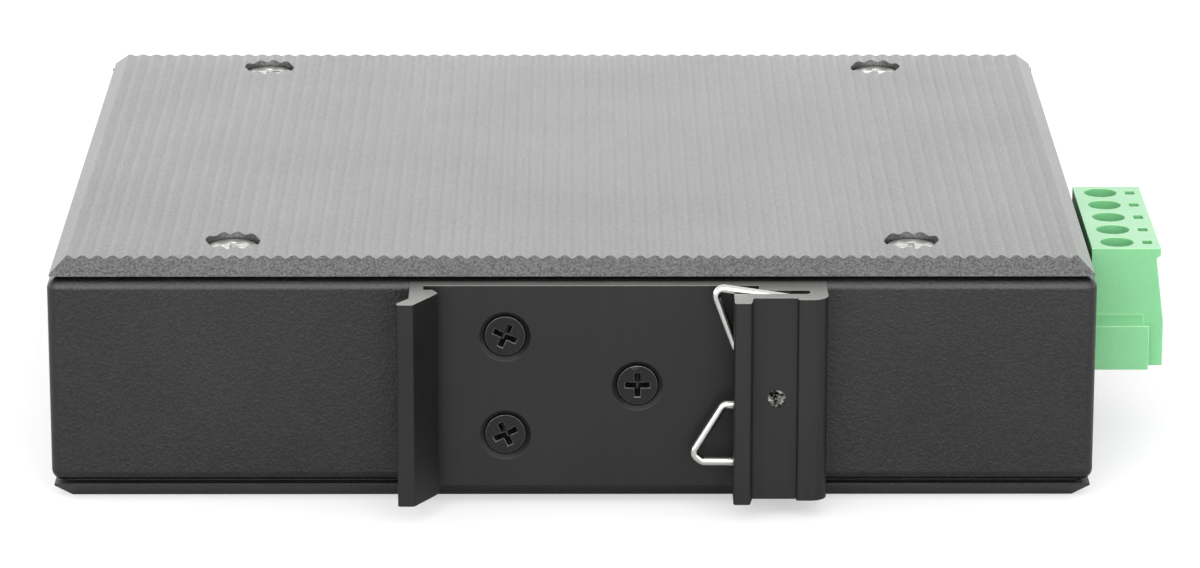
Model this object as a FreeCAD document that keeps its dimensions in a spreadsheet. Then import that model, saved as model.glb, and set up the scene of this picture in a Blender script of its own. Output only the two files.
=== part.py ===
"""Five-port ethernet switch for a 35 mm mounting rail, as a parametric document (millimetres).

Frame: the switch lies on its lower cover, +Z up. The origin is the centre of the rail grip on the
seat face of the rail clip, at half the height of the case. The case extends towards +Y behind the
clip, the rail lies towards -Y, and the power plug is on the +X end.
"""
import FreeCAD, Part
import math
import os
import re

import Sketcher
from FreeCAD import Placement, Rotation, Vector

# ---------------------------------------------------------------------------------------- sizes
SIZES = [
    # case
    ("case_width", 114.3, "case along X"),
    ("case_depth", 93.3, "case along Y"),
    ("case_height", 23.1, "case along Z, without the covers"),
    ("case_offset", -1.4, "centre of the case from the centre of the rail grip"),
    ("sheet_thick", 1.0, "steel sheet of the case"),
    ("fold_radius", 1.2, "outer radius of the sheet's folds"),
    ("panel_radius", 0.8, "rounded rim of the front panel"),
    ("side_flange", 9.0, "width of the flanges along the two ends"),
    ("end_flange", 14.0, "width of the flanges along the rear and the front"),
    ("flange_gap", 0.3, "gap between the flanges of the two sheets"),
    ("collar_height", 0.9, "drawn collar of a threaded hole, past the sheet"),
    ("collar_wall", 0.75, "wall of that collar"),
    # covers
    ("cover_inset", 0.3, "cover's edge inside the case's outline"),
    ("cover_thick", 2.15, "cover with its ribs"),
    ("cover_lip", 0.53, "upright part of the cover's edge"),
    ("bevel_width", 1.8, "bevel of the cover's edge, seen from above"),
    ("rib_pitch", 1.64, "ribs of the upper cover"),
    ("rib_gap", 0.22, "flat valley between two ribs"),
    ("rib_depth", 0.27, "height of a rib"),
    ("rib_shoulder", 0.4, "sloping shoulder on each side of a rib"),
    ("cover_screw_span", 74.6, "cover screws along X"),
    ("cover_screw_rear", 8.2, "cover screws from the cover's rear edge"),
    ("cover_screw_front", 7.6, "cover screws from the cover's front edge"),
    ("recess_diameter", 6.0, "recess round a cover screw"),
    ("recess_depth", 0.95, "depth of that recess"),
    # screws
    ("thread_diameter", 3.0, "case, clip and board screws"),
    ("thread_slack", 0.05, "between a screw and its threaded hole, all round"),
    ("hole_slack", 0.1, "between a screw and its clearance hole, all round"),
    ("cover_head_diameter", 5.3, "head of a cover screw"),
    ("cover_head_height", 0.72, "head of a cover screw"),
    ("cover_screw_length", 3.0, "cover screw under its head"),
    ("cross_width", 0.62, "wing of a cross recess"),
    ("cross_span", 2.7, "cross recess from end to end"),
    ("cross_depth", 0.55, "depth of a cross recess"),
    # rail clip
    ("clip_plate", 1.7, "plate of the rail clip"),
    ("clip_length", 22.8, "rail clip along Z"),
    ("rail_width", 35.0, "rail that the clip fits"),
    ("rail_slot", 1.5, "hook's slot for the rail's edge"),
    ("hook_stem", 1.5, "thickness of the hook's stem"),
    ("hook_reach", 1.6, "hook's lip over the rail's edge"),
    ("hook_height", 7.3, "hook in front of the seat face"),
    ("hook_flare", 1.25, "hook's outer lip outside its stem"),
    ("hook_lip", 0.65, "end face of the hook's outer lip"),
    ("hook_lip_slope", 1.85, "slope from that lip back to the stem, along Y"),
    ("hook_foot", 0.5, "hook's front face inside its stem's outer face"),
    ("hook_nose", 1.3, "hook's lip over the rail, along Y beyond the slot"),
    ("hook_nose_slope", 1.3, "slope from that lip to the front, along Y"),
    ("hook_nose_set", 0.7, "that slope's inner end behind the lip's tip"),
    ("hook_lead", 0.6, "lead-in of the hook's slot"),
    ("jaw_step", 1.3, "jaw's ledge outside the rail's edge"),
    ("jaw_ledge", 1.75, "jaw's ledge in front of the seat face"),
    ("jaw_slot", 1.35, "slot for the spring wire"),
    ("jaw_slot_depth", 5.5, "that slot behind the ledge's edge"),
    ("jaw_end_wall", 1.9, "jaw outside its slot"),
    ("jaw_web", 1.6, "jaw in front of its slot"),
    ("jaw_overhang", 1.45, "jaw's block over the rail's edge"),
    ("jaw_block_width", 2.1, "jaw's block along X"),
    ("jaw_block_height", 2.1, "jaw's block in front of the web"),
    ("jaw_block_slope", 0.3, "sloping side of that block"),
    ("jaw_bulge_width", 3.3, "rounded bulge at the jaw's outer end"),
    ("jaw_bulge_height", 0.65, "that bulge in front of the web"),
    ("jaw_bulge_radius", 1.7, "its outer corner"),
    ("jaw_slot_corner", 0.54, "corners of the slot's bottom"),
    ("edge_radius", 0.3, "small corners of the extrusion"),
    ("stake_x", 20.7, "staked dimple that keeps the spring wire"),
    ("stake_diameter", 2.0, "staked dimple"),
    ("stake_depth", 0.4, "staked dimple"),
    ("stake_boss", 1.4, "diameter of the boss that the dimple raises in the slot"),
    ("stake_gap", 0.25, "that boss from the slot's far wall"),
    ("clip_screw_left", -8.7, "pair of clip screws along X"),
    ("clip_screw_spread", 5.6, "that pair from the middle along Z"),
    ("clip_screw_right", 5.7, "single clip screw along X"),
    ("sink_depth", 1.2, "countersink of a clip screw's hole"),
    ("clip_head_diameter", 4.4, "head of a clip screw"),
    ("clip_head_sunk", 0.3, "head below the seat face"),
    ("clip_head_rim", 0.15, "upright rim of that head"),
    ("clip_screw_length", 4.2, "clip screw with its head"),
    # spring wire
    ("wire_diameter", 0.95, "spring wire"),
    ("wire_bend", 0.57, "bend radius of the wire's middle line"),
    ("wire_clear", 0.25, "between the wire and the boss"),
    ("arm_start", 1.2, "upper arm's end from the far lobe"),
    ("arm_drop", 0.7, "upper arm's end below the clip's end face"),
    ("arm_reach", 2.3, "upper lobe in front of the jaw"),
    ("arm_rise", 0.55, "upper lobe above the clip's end face"),
    ("lobe_turn", 1.75, "upper lobe's outer corner in front of the jaw"),
    ("lobe_drop", 0.8, "that corner below the clip's end face"),
    ("lobe_back", 0.3, "upper lobe's inner corner behind the jaw's edge"),
    ("lobe_back_z", 5.0, "that place along Z"),
    ("loop_side", 0.3, "loop round the boss, set off along X"),
    ("loop_top", 1.6, "loop round the boss, above its wrap"),
    ("tail_front", 1.0, "lower lobe in front of the jaw, where it leaves the boss"),
    ("tail_start", 0.1, "lower lobe's start above the wrap's lower side"),
    ("tail_reach", 4.4, "lower lobe's tip in front of the jaw"),
    ("tail_reach_z", -6.9, "that tip along Z"),
    ("tail_turn", 3.3, "lower lobe's corner in front of the jaw"),
    ("tail_turn_z", -7.8, "that corner along Z"),
    ("tail_end_z", -7.9, "wire's lower end along Z"),
    # circuit board
    ("standoff_length", 6.35, "board standoff"),
    ("standoff_flats", 5.0, "board standoff across its flats"),
    ("standoff_inset_x", 5.15, "standoffs from the case's end faces"),
    ("standoff_inset_y", 6.0, "standoffs from the case's rear and front faces"),
    ("board_thick", 1.6, "circuit board"),
    ("board_gap", 0.8, "board from the case's ends and front"),
    ("board_rear_gap", 2.2, "board from the rear wall, clear of the clip screws"),
    ("board_head_diameter", 5.5, "head of a board screw"),
    ("board_head_height", 2.0, "head of a board screw"),
    ("board_cross_depth", 1.1, "depth of that head's cross recess"),
    ("board_screw_length", 5.0, "board screw under its head"),
    # network ports
    ("port_pitch", 16.7, "ports along X"),
    ("port_shift", -6.0, "middle of the row of ports from the case's middle"),
    ("jack_width", 15.4, "jack housing"),
    ("jack_height", 11.1, "jack housing"),
    ("jack_depth", 18.0, "jack housing"),
    ("jack_cavity_width", 11.8, "opening of a jack"),
    ("jack_cavity_height", 6.9, "opening of a jack"),
    ("jack_cavity_depth", 13.0, "opening of a jack"),
    ("jack_cavity_floor", 2.6, "opening above the board"),
    ("latch_width", 6.2, "notch for the plug's latch"),
    ("latch_drop", 1.4, "notch below the opening"),
    ("shield_thick", 0.25, "jack shield"),
    ("shield_slack", 0.05, "between a shield and its jack"),
    ("contact_pitch", 1.02, "contacts of a jack"),
    ("contact_width", 0.4, "contact of a jack"),
    ("contact_thick", 0.3, "contact of a jack"),
    ("comb_wall", 1.6, "wall between a jack's cavity and its contacts' slots"),
    ("contact_bend", 0.6, "bend of a contact in front of the cavity's back wall"),
    ("contact_run", 8.0, "sloping end of a contact along Y"),
    ("contact_dip", 2.0, "sloping end of a contact downwards"),
    ("port_cutout_slack", 0.35, "panel's cut-out round a shield"),
    # status lights
    ("light_diameter", 2.0, "status light"),
    ("light_pitch", 4.0, "status lights, both ways"),
    ("light_stand", 0.6, "lights in front of the panel"),
    ("light_block_depth", 5.0, "holder of the lights"),
    ("light_seat", 4.0, "light inside its holder"),
    ("light_block_margin", 1.2, "holder round its lights, along X"),
    ("light_block_cap", 0.6, "holder above its upper lights"),
    ("light_height", 2.2, "lowest lights above the board"),
    # power connector
    ("pole_pitch", 5.08, "poles of the power connector"),
    ("plug_rear", 11.5, "plug's near end from the case's rear face"),
    ("plug_lift", 0.8, "plug's underside above the board"),
    ("plug_height", 13.55, "plug along Z"),
    ("plug_gap", 0.35, "plug's shoulder from the case's end"),
    ("plug_body", 8.1, "plug outside the case"),
    ("plug_nose", 9.6, "plug inside the header"),
    ("nose_height", 6.0, "plug's nose"),
    ("nose_lift", 0.2, "nose above the plug's underside"),
    ("nose_slack", 0.2, "between the nose and the header"),
    ("header_wall", 0.9, "wall of the header"),
    ("header_back", 2.0, "back wall of the header"),
    ("header_cutout", 0.3, "case's cut-out round the header"),
    ("pin_size", 1.0, "square pin"),
    ("pin_slack", 0.04, "pin in the header's back wall"),
    ("pin_tail", 1.6, "pin below the board"),
    ("pin_bend", 0.8, "outer radius of a pin's bend"),
    ("pin_hole", 1.5, "board's hole for a pin"),
    ("pin_short", 2.2, "pin's tip from the header's mouth"),
    ("cell_wall", 0.75, "wall between two cells of the plug"),
    ("cell_floor", 0.7, "floor of a cell"),
    ("cell_face", 0.7, "wall between a cell and the shoulder"),
    ("cage_length", 4.4, "clamp cage along X"),
    ("cage_height", 6.1, "clamp cage along Z"),
    ("cage_wall", 0.6, "sides and bottom of the clamp cage"),
    ("cage_head", 1.4, "threaded top of the clamp cage"),
    ("cage_slack", 0.08, "clamp cage in its cell"),
    ("cage_rise", 2.3, "travel of the clamp cage"),
    ("screw_thread", 2.5, "thread of a clamp screw"),
    ("screw_head", 3.5, "head of a clamp screw"),
    ("screw_head_height", 1.6, "head of a clamp screw"),
    ("screw_slot", 0.6, "slot of a clamp screw"),
    ("screw_slot_depth", 0.8, "slot of a clamp screw"),
    ("well_slack", 0.1, "clamp screw in its well"),
    ("bar_thick", 0.8, "current bar under a clamp screw"),
    ("bar_width", 2.4, "current bar"),
    ("bar_slack", 0.06, "between the current bar and what is near it"),
    ("sleeve_wall", 0.4, "sleeve that takes a pin"),
    ("sleeve_slack", 0.08, "pin in its sleeve"),
    ("sleeve_inset", 0.8, "sleeve's mouth inside the nose's tip"),
    ("entry_width", 3.5, "wire entry"),
    ("entry_height", 3.3, "wire entry"),
    ("test_hole_x", 3.35, "test holes outside the screws"),
    ("test_hole_length", 1.45, "test hole along Y"),
    ("test_hole_width", 1.05, "test hole along X"),
    ("test_hole_depth", 2.5, "test hole"),
    ("plug_lip", 0.85, "lip along the plug's top edge"),
    ("plug_lip_slope", 0.35, "slope under that lip, along Z"),
    ("plug_lip_set", 0.45, "lip's outer face inside the plug's widest"),
    ("plug_waist", 0.9, "plug below that lip, set in from its widest"),
    ("end_block", 1.7, "block on the plug's near end"),
    ("end_block_height", 5.05, "that block along Z"),
    ("end_block_width", 6.4, "that block along X"),
    ("end_slope", 0.9, "slope from the block's top to the plug, along Z"),
    ("end_slope_short", 0.5, "that slope short of the block's end"),
    # parts on the board
    ("chip_size", 20.0, "switch chip"),
    ("chip_height", 1.6, "switch chip"),
    ("chip_edge", 0.4, "its bevelled upper edge"),
    ("crystal_length", 11.0, "crystal can"),
    ("crystal_width", 4.6, "crystal can"),
    ("crystal_height", 3.5, "crystal can"),
    ("crystal_corner", 1.4, "its bevelled corners"),
    ("coil_size", 12.0, "power inductor"),
    ("coil_height", 6.0, "power inductor"),
    ("coil_corner", 2.0, "its bevelled corners"),
    ("can_diameter", 10.0, "electrolytic capacitor"),
    ("can_height", 12.0, "electrolytic capacitor"),
    ("cut_over", 1.0, "how far a cut runs past a face"),
]

PLACES = [
    # case
    ("case_left", "case_offset - case_width / 2"),
    ("case_right", "case_offset + case_width / 2"),
    ("case_rear", "clip_plate"),
    ("case_front", "case_rear + case_depth"),
    ("panel_back", "case_front - sheet_thick"),
    ("half_height", "case_height / 2"),
    ("flange_in", "half_height - sheet_thick"),
    ("cover_width", "case_width - 2 * cover_inset"),
    ("cover_depth", "case_depth - 2 * cover_inset"),
    ("cover_middle", "case_rear + case_depth / 2"),
    ("cover_top", "half_height + cover_thick"),
    ("rib_width", "rib_pitch - rib_gap"),
    ("rib_count", "floor(cover_width / rib_pitch)"),
    ("hole_left", "case_offset - cover_screw_span / 2"),
    ("hole_right", "case_offset + cover_screw_span / 2"),
    ("hole_rear", "case_rear + cover_inset + cover_screw_rear"),
    ("hole_front", "case_front - cover_inset - cover_screw_front"),
    ("recess_floor", "cover_thick - recess_depth"),
    ("tap_diameter", "thread_diameter"),
    ("shank_diameter", "thread_diameter - 2 * thread_slack"),
    ("pass_diameter", "thread_diameter + 2 * hole_slack"),
    ("collar_diameter", "thread_diameter + 2 * collar_wall"),
    # rail clip
    ("rail_edge", "rail_width / 2"),
    ("hook_left", "-rail_edge - hook_stem"),
    ("hook_tip", "-rail_edge + hook_reach"),
    ("jaw_left", "rail_edge + jaw_step"),
    ("jaw_slot_end", "jaw_left + jaw_slot_depth"),
    ("jaw_right", "jaw_slot_end + jaw_end_wall"),
    ("jaw_web_rear", "-jaw_ledge - jaw_slot"),
    ("jaw_web_front", "jaw_web_rear - jaw_web"),
    ("jaw_lip", "rail_edge - jaw_overhang"),
    ("jaw_bulge_left", "jaw_right - jaw_bulge_width"),
    ("jaw_bulge_front", "jaw_web_front - jaw_bulge_height"),
    ("jaw_block_front", "jaw_web_front - jaw_block_height"),
    ("wire_y", "-jaw_ledge - jaw_slot / 2"),
    ("clip_end", "clip_length / 2"),
    ("wire_wall", "jaw_slot_end - wire_diameter"),
    ("wire_round", "(stake_boss + wire_diameter) / 2 + wire_clear"),
    # board
    ("board_under", "-flange_in + standoff_length"),
    ("board_top", "board_under + board_thick"),
    ("board_left", "case_left + sheet_thick + board_gap"),
    ("board_right", "case_right - sheet_thick - board_gap"),
    ("board_rear", "case_rear + sheet_thick + board_rear_gap"),
    ("board_front", "panel_back - board_gap"),
    ("post_left", "case_left + standoff_inset_x"),
    ("post_right", "case_right - standoff_inset_x"),
    ("post_rear", "case_rear + standoff_inset_y"),
    ("post_front", "case_front - standoff_inset_y"),
    # ports, in a jack's own frame: X from its middle, Y from the panel's face, Z from the board
    ("first_port", "case_offset + port_shift - 2 * port_pitch"),
    ("shield_half", "jack_width / 2 + shield_slack + shield_thick"),
    ("shield_top", "jack_height + shield_slack + shield_thick"),
    ("shield_back", "jack_depth + shield_slack + shield_thick"),
    ("cavity_top", "jack_cavity_floor + jack_cavity_height"),
    ("comb_half", "4.5 * contact_pitch"),
    ("comb_top", "cavity_top"),
    ("comb_depth", "jack_depth - jack_cavity_depth - comb_wall"),
    # lights
    ("light_first_x", "first_port + 4 * port_pitch + shield_half + light_block_margin + light_pitch / 2"),
    ("light_first_z", "board_top + light_height"),
    ("light_block_front", "panel_back - hole_slack"),
    # plug
    ("plug_length", "5 * pole_pitch"),
    ("plug_near", "case_rear + plug_rear"),
    ("plug_middle", "plug_near + plug_length / 2"),
    ("plug_bottom", "board_top + plug_lift"),
    ("plug_top", "plug_bottom + plug_height"),
    ("plug_inner", "case_right + plug_gap"),
    ("plug_outer", "plug_inner + plug_body"),
    ("nose_tip", "plug_inner - plug_nose"),
    ("nose_bottom", "plug_bottom + nose_lift"),
    ("nose_top", "nose_bottom + nose_height"),
    ("pin_z", "(nose_bottom + nose_top) / 2"),
    ("header_left", "nose_tip - nose_slack - header_back"),
    ("header_half", "plug_length / 2 - cell_wall / 2 + nose_slack + header_wall"),
    ("header_top", "nose_top + nose_slack + header_wall"),
    ("pin_end", "case_right - pin_short"),
    ("tail_x", "header_left - pin_size / 2 - pin_slack"),
    ("cell_inner", "plug_inner + cell_face"),
    ("cell_length", "cage_length + 2 * cage_slack"),
    ("cell_half", "pole_pitch / 2 - cell_wall / 2"),
    ("cell_bottom", "plug_bottom + cell_floor"),
    ("cage_half", "cell_half - cage_slack"),
    ("screw_x", "cell_inner + cell_length / 2"),
    ("cage_bottom", "cell_bottom + cage_slack"),
    ("cage_top", "cage_bottom + cage_height"),
    ("window_top", "cage_top - cage_head"),
    ("bar_top", "window_top - bar_slack"),
    ("bar_bottom", "bar_top - bar_thick"),
    ("screw_tip", "bar_top + bar_slack"),
    ("head_bottom", "cage_top + cage_rise + 4 * cage_slack"),
    ("head_top", "head_bottom + screw_head_height"),
    ("well_diameter", "screw_head + 2 * well_slack"),
    ("sleeve_half", "pin_size / 2 + sleeve_slack + sleeve_wall"),
    ("sleeve_left", "nose_tip + sleeve_inset"),
    ("sleeve_right", "cell_inner - cell_face"),
    ("entry_bottom", "cell_bottom + cage_wall"),
]

doc = FreeCAD.newDocument("RailSwitch")
sizes = doc.addObject("Spreadsheet::Sheet", "Sizes")
places = doc.addObject("Spreadsheet::Sheet", "Places")
SIZE_NAMES = {entry[0] for entry in SIZES}
PLACE_NAMES = {entry[0] for entry in PLACES}


def formula(text, home=None):
    """Text of a formula with each name led by the sheet that holds it, unless that is home."""
    def lead(match):
        word = match.group(0)
        if word in SIZE_NAMES and home != "Sizes":
            return "Sizes." + word
        if word in PLACE_NAMES and home != "Places":
            return "Places." + word
        return word
    return re.sub(r"[A-Za-z_][A-Za-z_0-9]*", lead, str(text))


def fill_sheets():
    """Driving sizes as plain numbers, and the places that follow from them."""
    for row, (name, value, meaning) in enumerate(SIZES, 1):
        sizes.set("A%d" % row, name)
        sizes.set("B%d" % row, str(value))
        sizes.set("C%d" % row, meaning)
        sizes.setAlias("B%d" % row, name)
    doc.recompute()
    for row, (name, text) in enumerate(PLACES, 1):
        places.set("A%d" % row, name)
        places.setAlias("B%d" % row, name)
        places.set("B%d" % row, "=" + formula(text, "Places"))
    doc.recompute()


def number(name):
    """Value of one named size or place."""
    return float((sizes if name in SIZE_NAMES else places).get(name))


def worked(text):
    """Value of a sum or difference of named sizes and places."""
    total = 0.0
    for sign, name in re.findall(r"([+-]?)\s*([a-z_]+)", text):
        total += -number(name) if sign == "-" else number(name)
    return total


# -------------------------------------------------------------------------------------- helpers
NEAR = 1e-6
PORTS = 5
POLES = 5
CONTACTS = 8
ROUGH_RING = 20
MITRED = 1
PLANES = {"XY": "XY_Plane", "XZ": "XZ_Plane", "YZ": "YZ_Plane"}
# a sketch on XZ looks along +Y, so its own normal is -Y
SIGN = {"XY": 1, "XZ": -1, "YZ": 1}


class Piece:
    """One body of the document, with short methods for the features that shape it."""

    def __init__(self, label):
        self.body = doc.addObject("PartDesign::Body", label)
        self.body.Label = label
        self.count = 0

    def origin(self, role):
        """Origin plane or axis of this body, found by its role."""
        for feature in self.body.Origin.OriginFeatures:
            if feature.Role == role:
                return feature
        raise ValueError(role)

    def name(self, kind):
        """Next feature name of this body."""
        self.count += 1
        return "%s_%s%d" % (self.body.Name, kind, self.count)

    def place(self, x="0", y="0", z="0"):
        """Bind the body's placement."""
        for axis, text in zip("xyz", (x, y, z)):
            self.body.setExpression("Placement.Base." + axis, formula(text))

    def sketch(self, plane, start):
        """Empty sketch on an origin plane, moved to the coordinate start along the plane's axis."""
        item = self.body.newObject("Sketcher::SketchObject", self.name("sketch"))
        item.AttachmentSupport = [(self.origin(PLANES[plane]), "")]
        item.MapMode = "FlatFace"
        text = formula(start) if SIGN[plane] > 0 else "-(%s)" % formula(start)
        item.setExpression("AttachmentOffset.Base.z", text)
        return item

    def pin_point(self, item, index, end, point, tag, drawn):
        """Bind one point of a sketch, first drawn at a rough place, by its two distances."""
        for axis, text, value in zip("XY", point, drawn):
            row = item.addConstraint(Sketcher.Constraint("Distance" + axis, -1, 1, index, end, value))
            item.renameConstraint(row, "%s%s" % (axis.lower(), tag))
            item.setExpression("Constraints.%s%s" % (axis.lower(), tag), formula(text))

    def polygon(self, plane, points, start="0", item=None):
        """Closed outline through points, each a pair of formulas."""
        item = item or self.sketch(plane, start)
        first = item.GeometryCount
        total = len(points)
        corner = Rotation(Vector(0, 0, 1), 360 / total)
        ring = [Vector(ROUGH_RING, 0, 0)]
        while len(ring) < total:
            ring.append(corner.multVec(ring[-1]))
        for k in range(total):
            item.addGeometry(Part.LineSegment(ring[k], ring[(k + 1) % total]), False)
        for k in range(total):
            item.addConstraint(Sketcher.Constraint("Coincident", first + k, 2, first + (k + 1) % total, 1))
            self.pin_point(item, first + k, 1, points[k], first + k, ring[k])
        return item

    def box_outline(self, plane, low, high, start="0", item=None):
        """Rectangle between two corners."""
        return self.polygon(plane, [low, (high[0], low[1]), high, (low[0], high[1])], start, item)

    def circles(self, plane, centres, diameter, start="0"):
        """Circles of one diameter."""
        item = self.sketch(plane, start)
        for k, centre in enumerate(centres):
            drawn = Vector(3.0 * k, 0, 0)
            item.addGeometry(Part.Circle(drawn, Vector(0, 0, 1), 1.0), False)
            self.pin_point(item, k, 3, centre, k, drawn)
            row = item.addConstraint(Sketcher.Constraint("Radius", k, 1.0))
            item.renameConstraint(row, "radius%d" % k)
            item.setExpression("Constraints.radius%d" % k, formula("(%s) / 2" % diameter))
        return item

    def pad(self, item, length, plane):
        """Material from the sketch towards the plane's positive axis."""
        feature = self.body.newObject("PartDesign::Pad", self.name("pad"))
        feature.Profile = item
        feature.setExpression("Length", formula(length))
        feature.Reversed = SIGN[plane] < 0
        return feature

    def cut(self, item, length, plane):
        """Pocket from the sketch towards the plane's positive axis."""
        feature = self.body.newObject("PartDesign::Pocket", self.name("cut"))
        feature.Profile = item
        feature.setExpression("Length", formula(length))
        feature.Reversed = SIGN[plane] > 0
        return feature

    def add_box(self, low, high):
        """Block between two corners, each three formulas."""
        item = self.box_outline("XY", low[:2], high[:2], low[2])
        return self.pad(item, "(%s) - (%s)" % (high[2], low[2]), "XY")

    def cut_box(self, low, high):
        """Rectangular opening between two corners."""
        item = self.box_outline("XY", low[:2], high[:2], low[2])
        return self.cut(item, "(%s) - (%s)" % (high[2], low[2]), "XY")

    def add_profile(self, plane, points, low, high):
        """Prism of an outline from low to high along the plane's axis."""
        item = self.polygon(plane, points, low)
        return self.pad(item, "(%s) - (%s)" % (high, low), plane)

    def cut_profile(self, plane, points, low, high):
        """Prism of an outline taken away."""
        item = self.polygon(plane, points, low)
        return self.cut(item, "(%s) - (%s)" % (high, low), plane)

    def add_discs(self, plane, centres, diameter, low, high):
        """Cylinders along the plane's axis."""
        return self.pad(self.circles(plane, centres, diameter, low), "(%s) - (%s)" % (high, low), plane)

    def cut_discs(self, plane, centres, diameter, low, high):
        """Round holes along the plane's axis."""
        return self.cut(self.circles(plane, centres, diameter, low), "(%s) - (%s)" % (high, low), plane)

    def turn(self, points):
        """Solid turned about Z from an outline in X (radius) and Z."""
        feature = self.body.newObject("PartDesign::Revolution", self.name("turned"))
        feature.Profile = self.polygon("XZ", points)
        feature.ReferenceAxis = (self.origin("Z_Axis"), [""])
        feature.Angle = 360
        return feature

    def repeat(self, feature, pitch, count):
        """Row of a feature along X."""
        pattern = self.body.newObject("PartDesign::LinearPattern", self.name("row"))
        pattern.Originals = [feature]
        pattern.Direction = (self.origin("X_Axis"), [""])
        pattern.setExpression("Length", formula("((%s) - 1) * (%s)" % (count, pitch)))
        pattern.setExpression("Occurrences", formula(count))
        self.body.Tip = pattern

    def dress(self, kind, edges, size):
        """Fillet or chamfer on edges of the tip."""
        base = self.body.Tip
        feature = self.body.newObject("PartDesign::" + kind, self.name(kind.lower()))
        feature.Base = (base, edges)
        feature.setExpression("Radius" if kind == "Fillet" else "Size", formula(size))
        return feature

    def edges(self, test):
        """Names of the tip's edges that pass a test on their middle point and direction."""
        doc.recompute()
        found = []
        for index, edge in enumerate(self.body.Tip.Shape.Edges, 1):
            first, last = edge.ParameterRange
            middle = edge.valueAt((first + last) / 2)
            if test(edge, middle):
                found.append("Edge%d" % index)
        return found

    def corners(self, feature, indexes):
        """Names of the edges that a padded outline's numbered corners made."""
        doc.recompute()
        item = feature.Profile[0]
        spots = [item.Placement.multVec(item.Geometry[k].StartPoint) for k in indexes]
        axis = item.Placement.Rotation.multVec(Vector(0, 0, 1))

        def on_corner(edge, middle):
            if not isinstance(edge.Curve, Part.Line) or abs(edge.Curve.Direction.dot(axis)) < 0.999:
                return False
            return any((middle - spot).cross(axis).Length < 1e-4 for spot in spots)
        return self.edges(on_corner)


def cross_outline():
    """Twelve corners of a cross recess."""
    arm, side = "cross_span / 2", "cross_width / 2"
    quarter = [(arm, "-(%s)" % side), (arm, side), (side, side)]
    points = []
    for turn in range(4):
        for x, y in quarter:
            for _ in range(turn):
                x, y = "-(%s)" % y, x
            points.append((x, y))
    return points


def group(label, parts):
    """Node made of several separate fasteners of one kind."""
    item = doc.addObject("Part::Compound", label)
    item.Label = label
    item.Links = parts
    return item


def upright(edge, middle):
    """Whether an edge runs along Z."""
    return isinstance(edge.Curve, Part.Line) and abs(abs(edge.Curve.Direction.z) - 1) < NEAR


NODES = []


# --------------------------------------------------------------------------------------- covers
def make_cover(label, ribbed):
    """Bevelled aluminium cover, in its own frame: Z from its inner face, Y from its middle."""
    piece = Piece(label)
    half = ("cover_width / 2", "cover_depth / 2")
    low = ("-cover_width / 2", "-cover_depth / 2")
    body_top = "cover_thick - rib_depth" if ribbed else "cover_thick"
    piece.add_box((low[0], low[1], "0"), (half[0], half[1], body_top))
    if ribbed:
        add_ribs(piece)
    for plane, edge, reach in (("YZ", half[1], half[0]), ("XZ", half[0], half[1])):
        for sign in ("-", ""):
            bevel = [(edge, "cover_lip"), (edge + " - bevel_width", "cover_thick"),
                     (edge + " - bevel_width", "cover_thick + cut_over"),
                     (edge + " + cut_over", "cover_thick + cut_over"), (edge + " + cut_over", "cover_lip")]
            sided = [("%s(%s)" % (sign, across), up) for across, up in bevel]
            piece.cut_profile(plane, sided, "-(%s) - cut_over" % reach, "%s + cut_over" % reach)
    across = ("-cover_screw_span / 2", "cover_screw_span / 2")
    along = ("-cover_depth / 2 + cover_screw_rear", "cover_depth / 2 - cover_screw_front")
    if not ribbed:
        along = tuple("-(%s)" % text for text in along)
    spots = [(x, y) for x in across for y in along]
    piece.cut_discs("XY", spots, "recess_diameter", "recess_floor", "cover_thick + cut_over")
    piece.cut_discs("XY", spots, "pass_diameter", "-cut_over", "cover_thick")
    return piece


def add_ribs(piece):
    """Row of crowned ribs along Y, one rib patterned across the cover."""
    middle = "-(rib_count - 1) / 2 * rib_pitch"
    foot = (middle + " - rib_width / 2", middle + " + rib_width / 2")
    base = "cover_thick - rib_depth"
    outline = [(foot[0], base), (foot[1], base), (foot[1] + " - rib_shoulder", "cover_thick"),
               (foot[0] + " + rib_shoulder", "cover_thick")]
    rib = piece.add_profile("XZ", outline, "-cover_depth / 2", "cover_depth / 2")
    piece.repeat(rib, "rib_pitch", "rib_count")


def cover_screw(label):
    """Short cover screw, head up, with its seat at Z = 0."""
    piece = Piece(label)
    rim, shank = "cover_head_diameter / 2", "shank_diameter / 2"
    piece.turn([("0", "-cover_screw_length"), (shank, "-cover_screw_length"), (shank, "0"), (rim, "0"),
                (rim, "cover_head_height"), ("0", "cover_head_height")])
    piece.cut_profile("XY", cross_outline(), "cover_head_height - cross_depth", "cover_head_height + cut_over")
    return piece


def make_covers():
    """Both covers and their screws."""
    upper = make_cover("upper_cover", True)
    upper.place("case_offset", "cover_middle", "half_height")
    lower = make_cover("lower_cover", False)
    lower.body.Placement = Placement(Vector(), Rotation(Vector(1, 0, 0), 180))
    lower.place("case_offset", "cover_middle", "-half_height")
    NODES.extend([upper.body, lower.body])
    for side, sign in (("upper", ""), ("lower", "-")):
        parts = []
        for x in ("hole_left", "hole_right"):
            for y in ("hole_rear", "hole_front"):
                piece = cover_screw("%s_screw_%d" % (side, len(parts) + 1))
                if sign:
                    piece.body.Placement = Placement(Vector(), Rotation(Vector(1, 0, 0), 180))
                piece.place(x, y, "%s(half_height + recess_floor)" % sign)
                parts.append(piece.body)
        NODES.append(group(side + "_cover_screws", parts))


# ----------------------------------------------------------------------------------------- case
def collars(piece, spots):
    """Drawn, threaded collars in the upper and the lower flange."""
    piece.add_discs("XY", spots, "collar_diameter", "flange_in - collar_height", "flange_in")
    piece.add_discs("XY", spots, "collar_diameter", "-flange_in", "-flange_in + collar_height")
    piece.cut_discs("XY", spots, "tap_diameter", "-half_height - cut_over", "half_height + cut_over")


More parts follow.
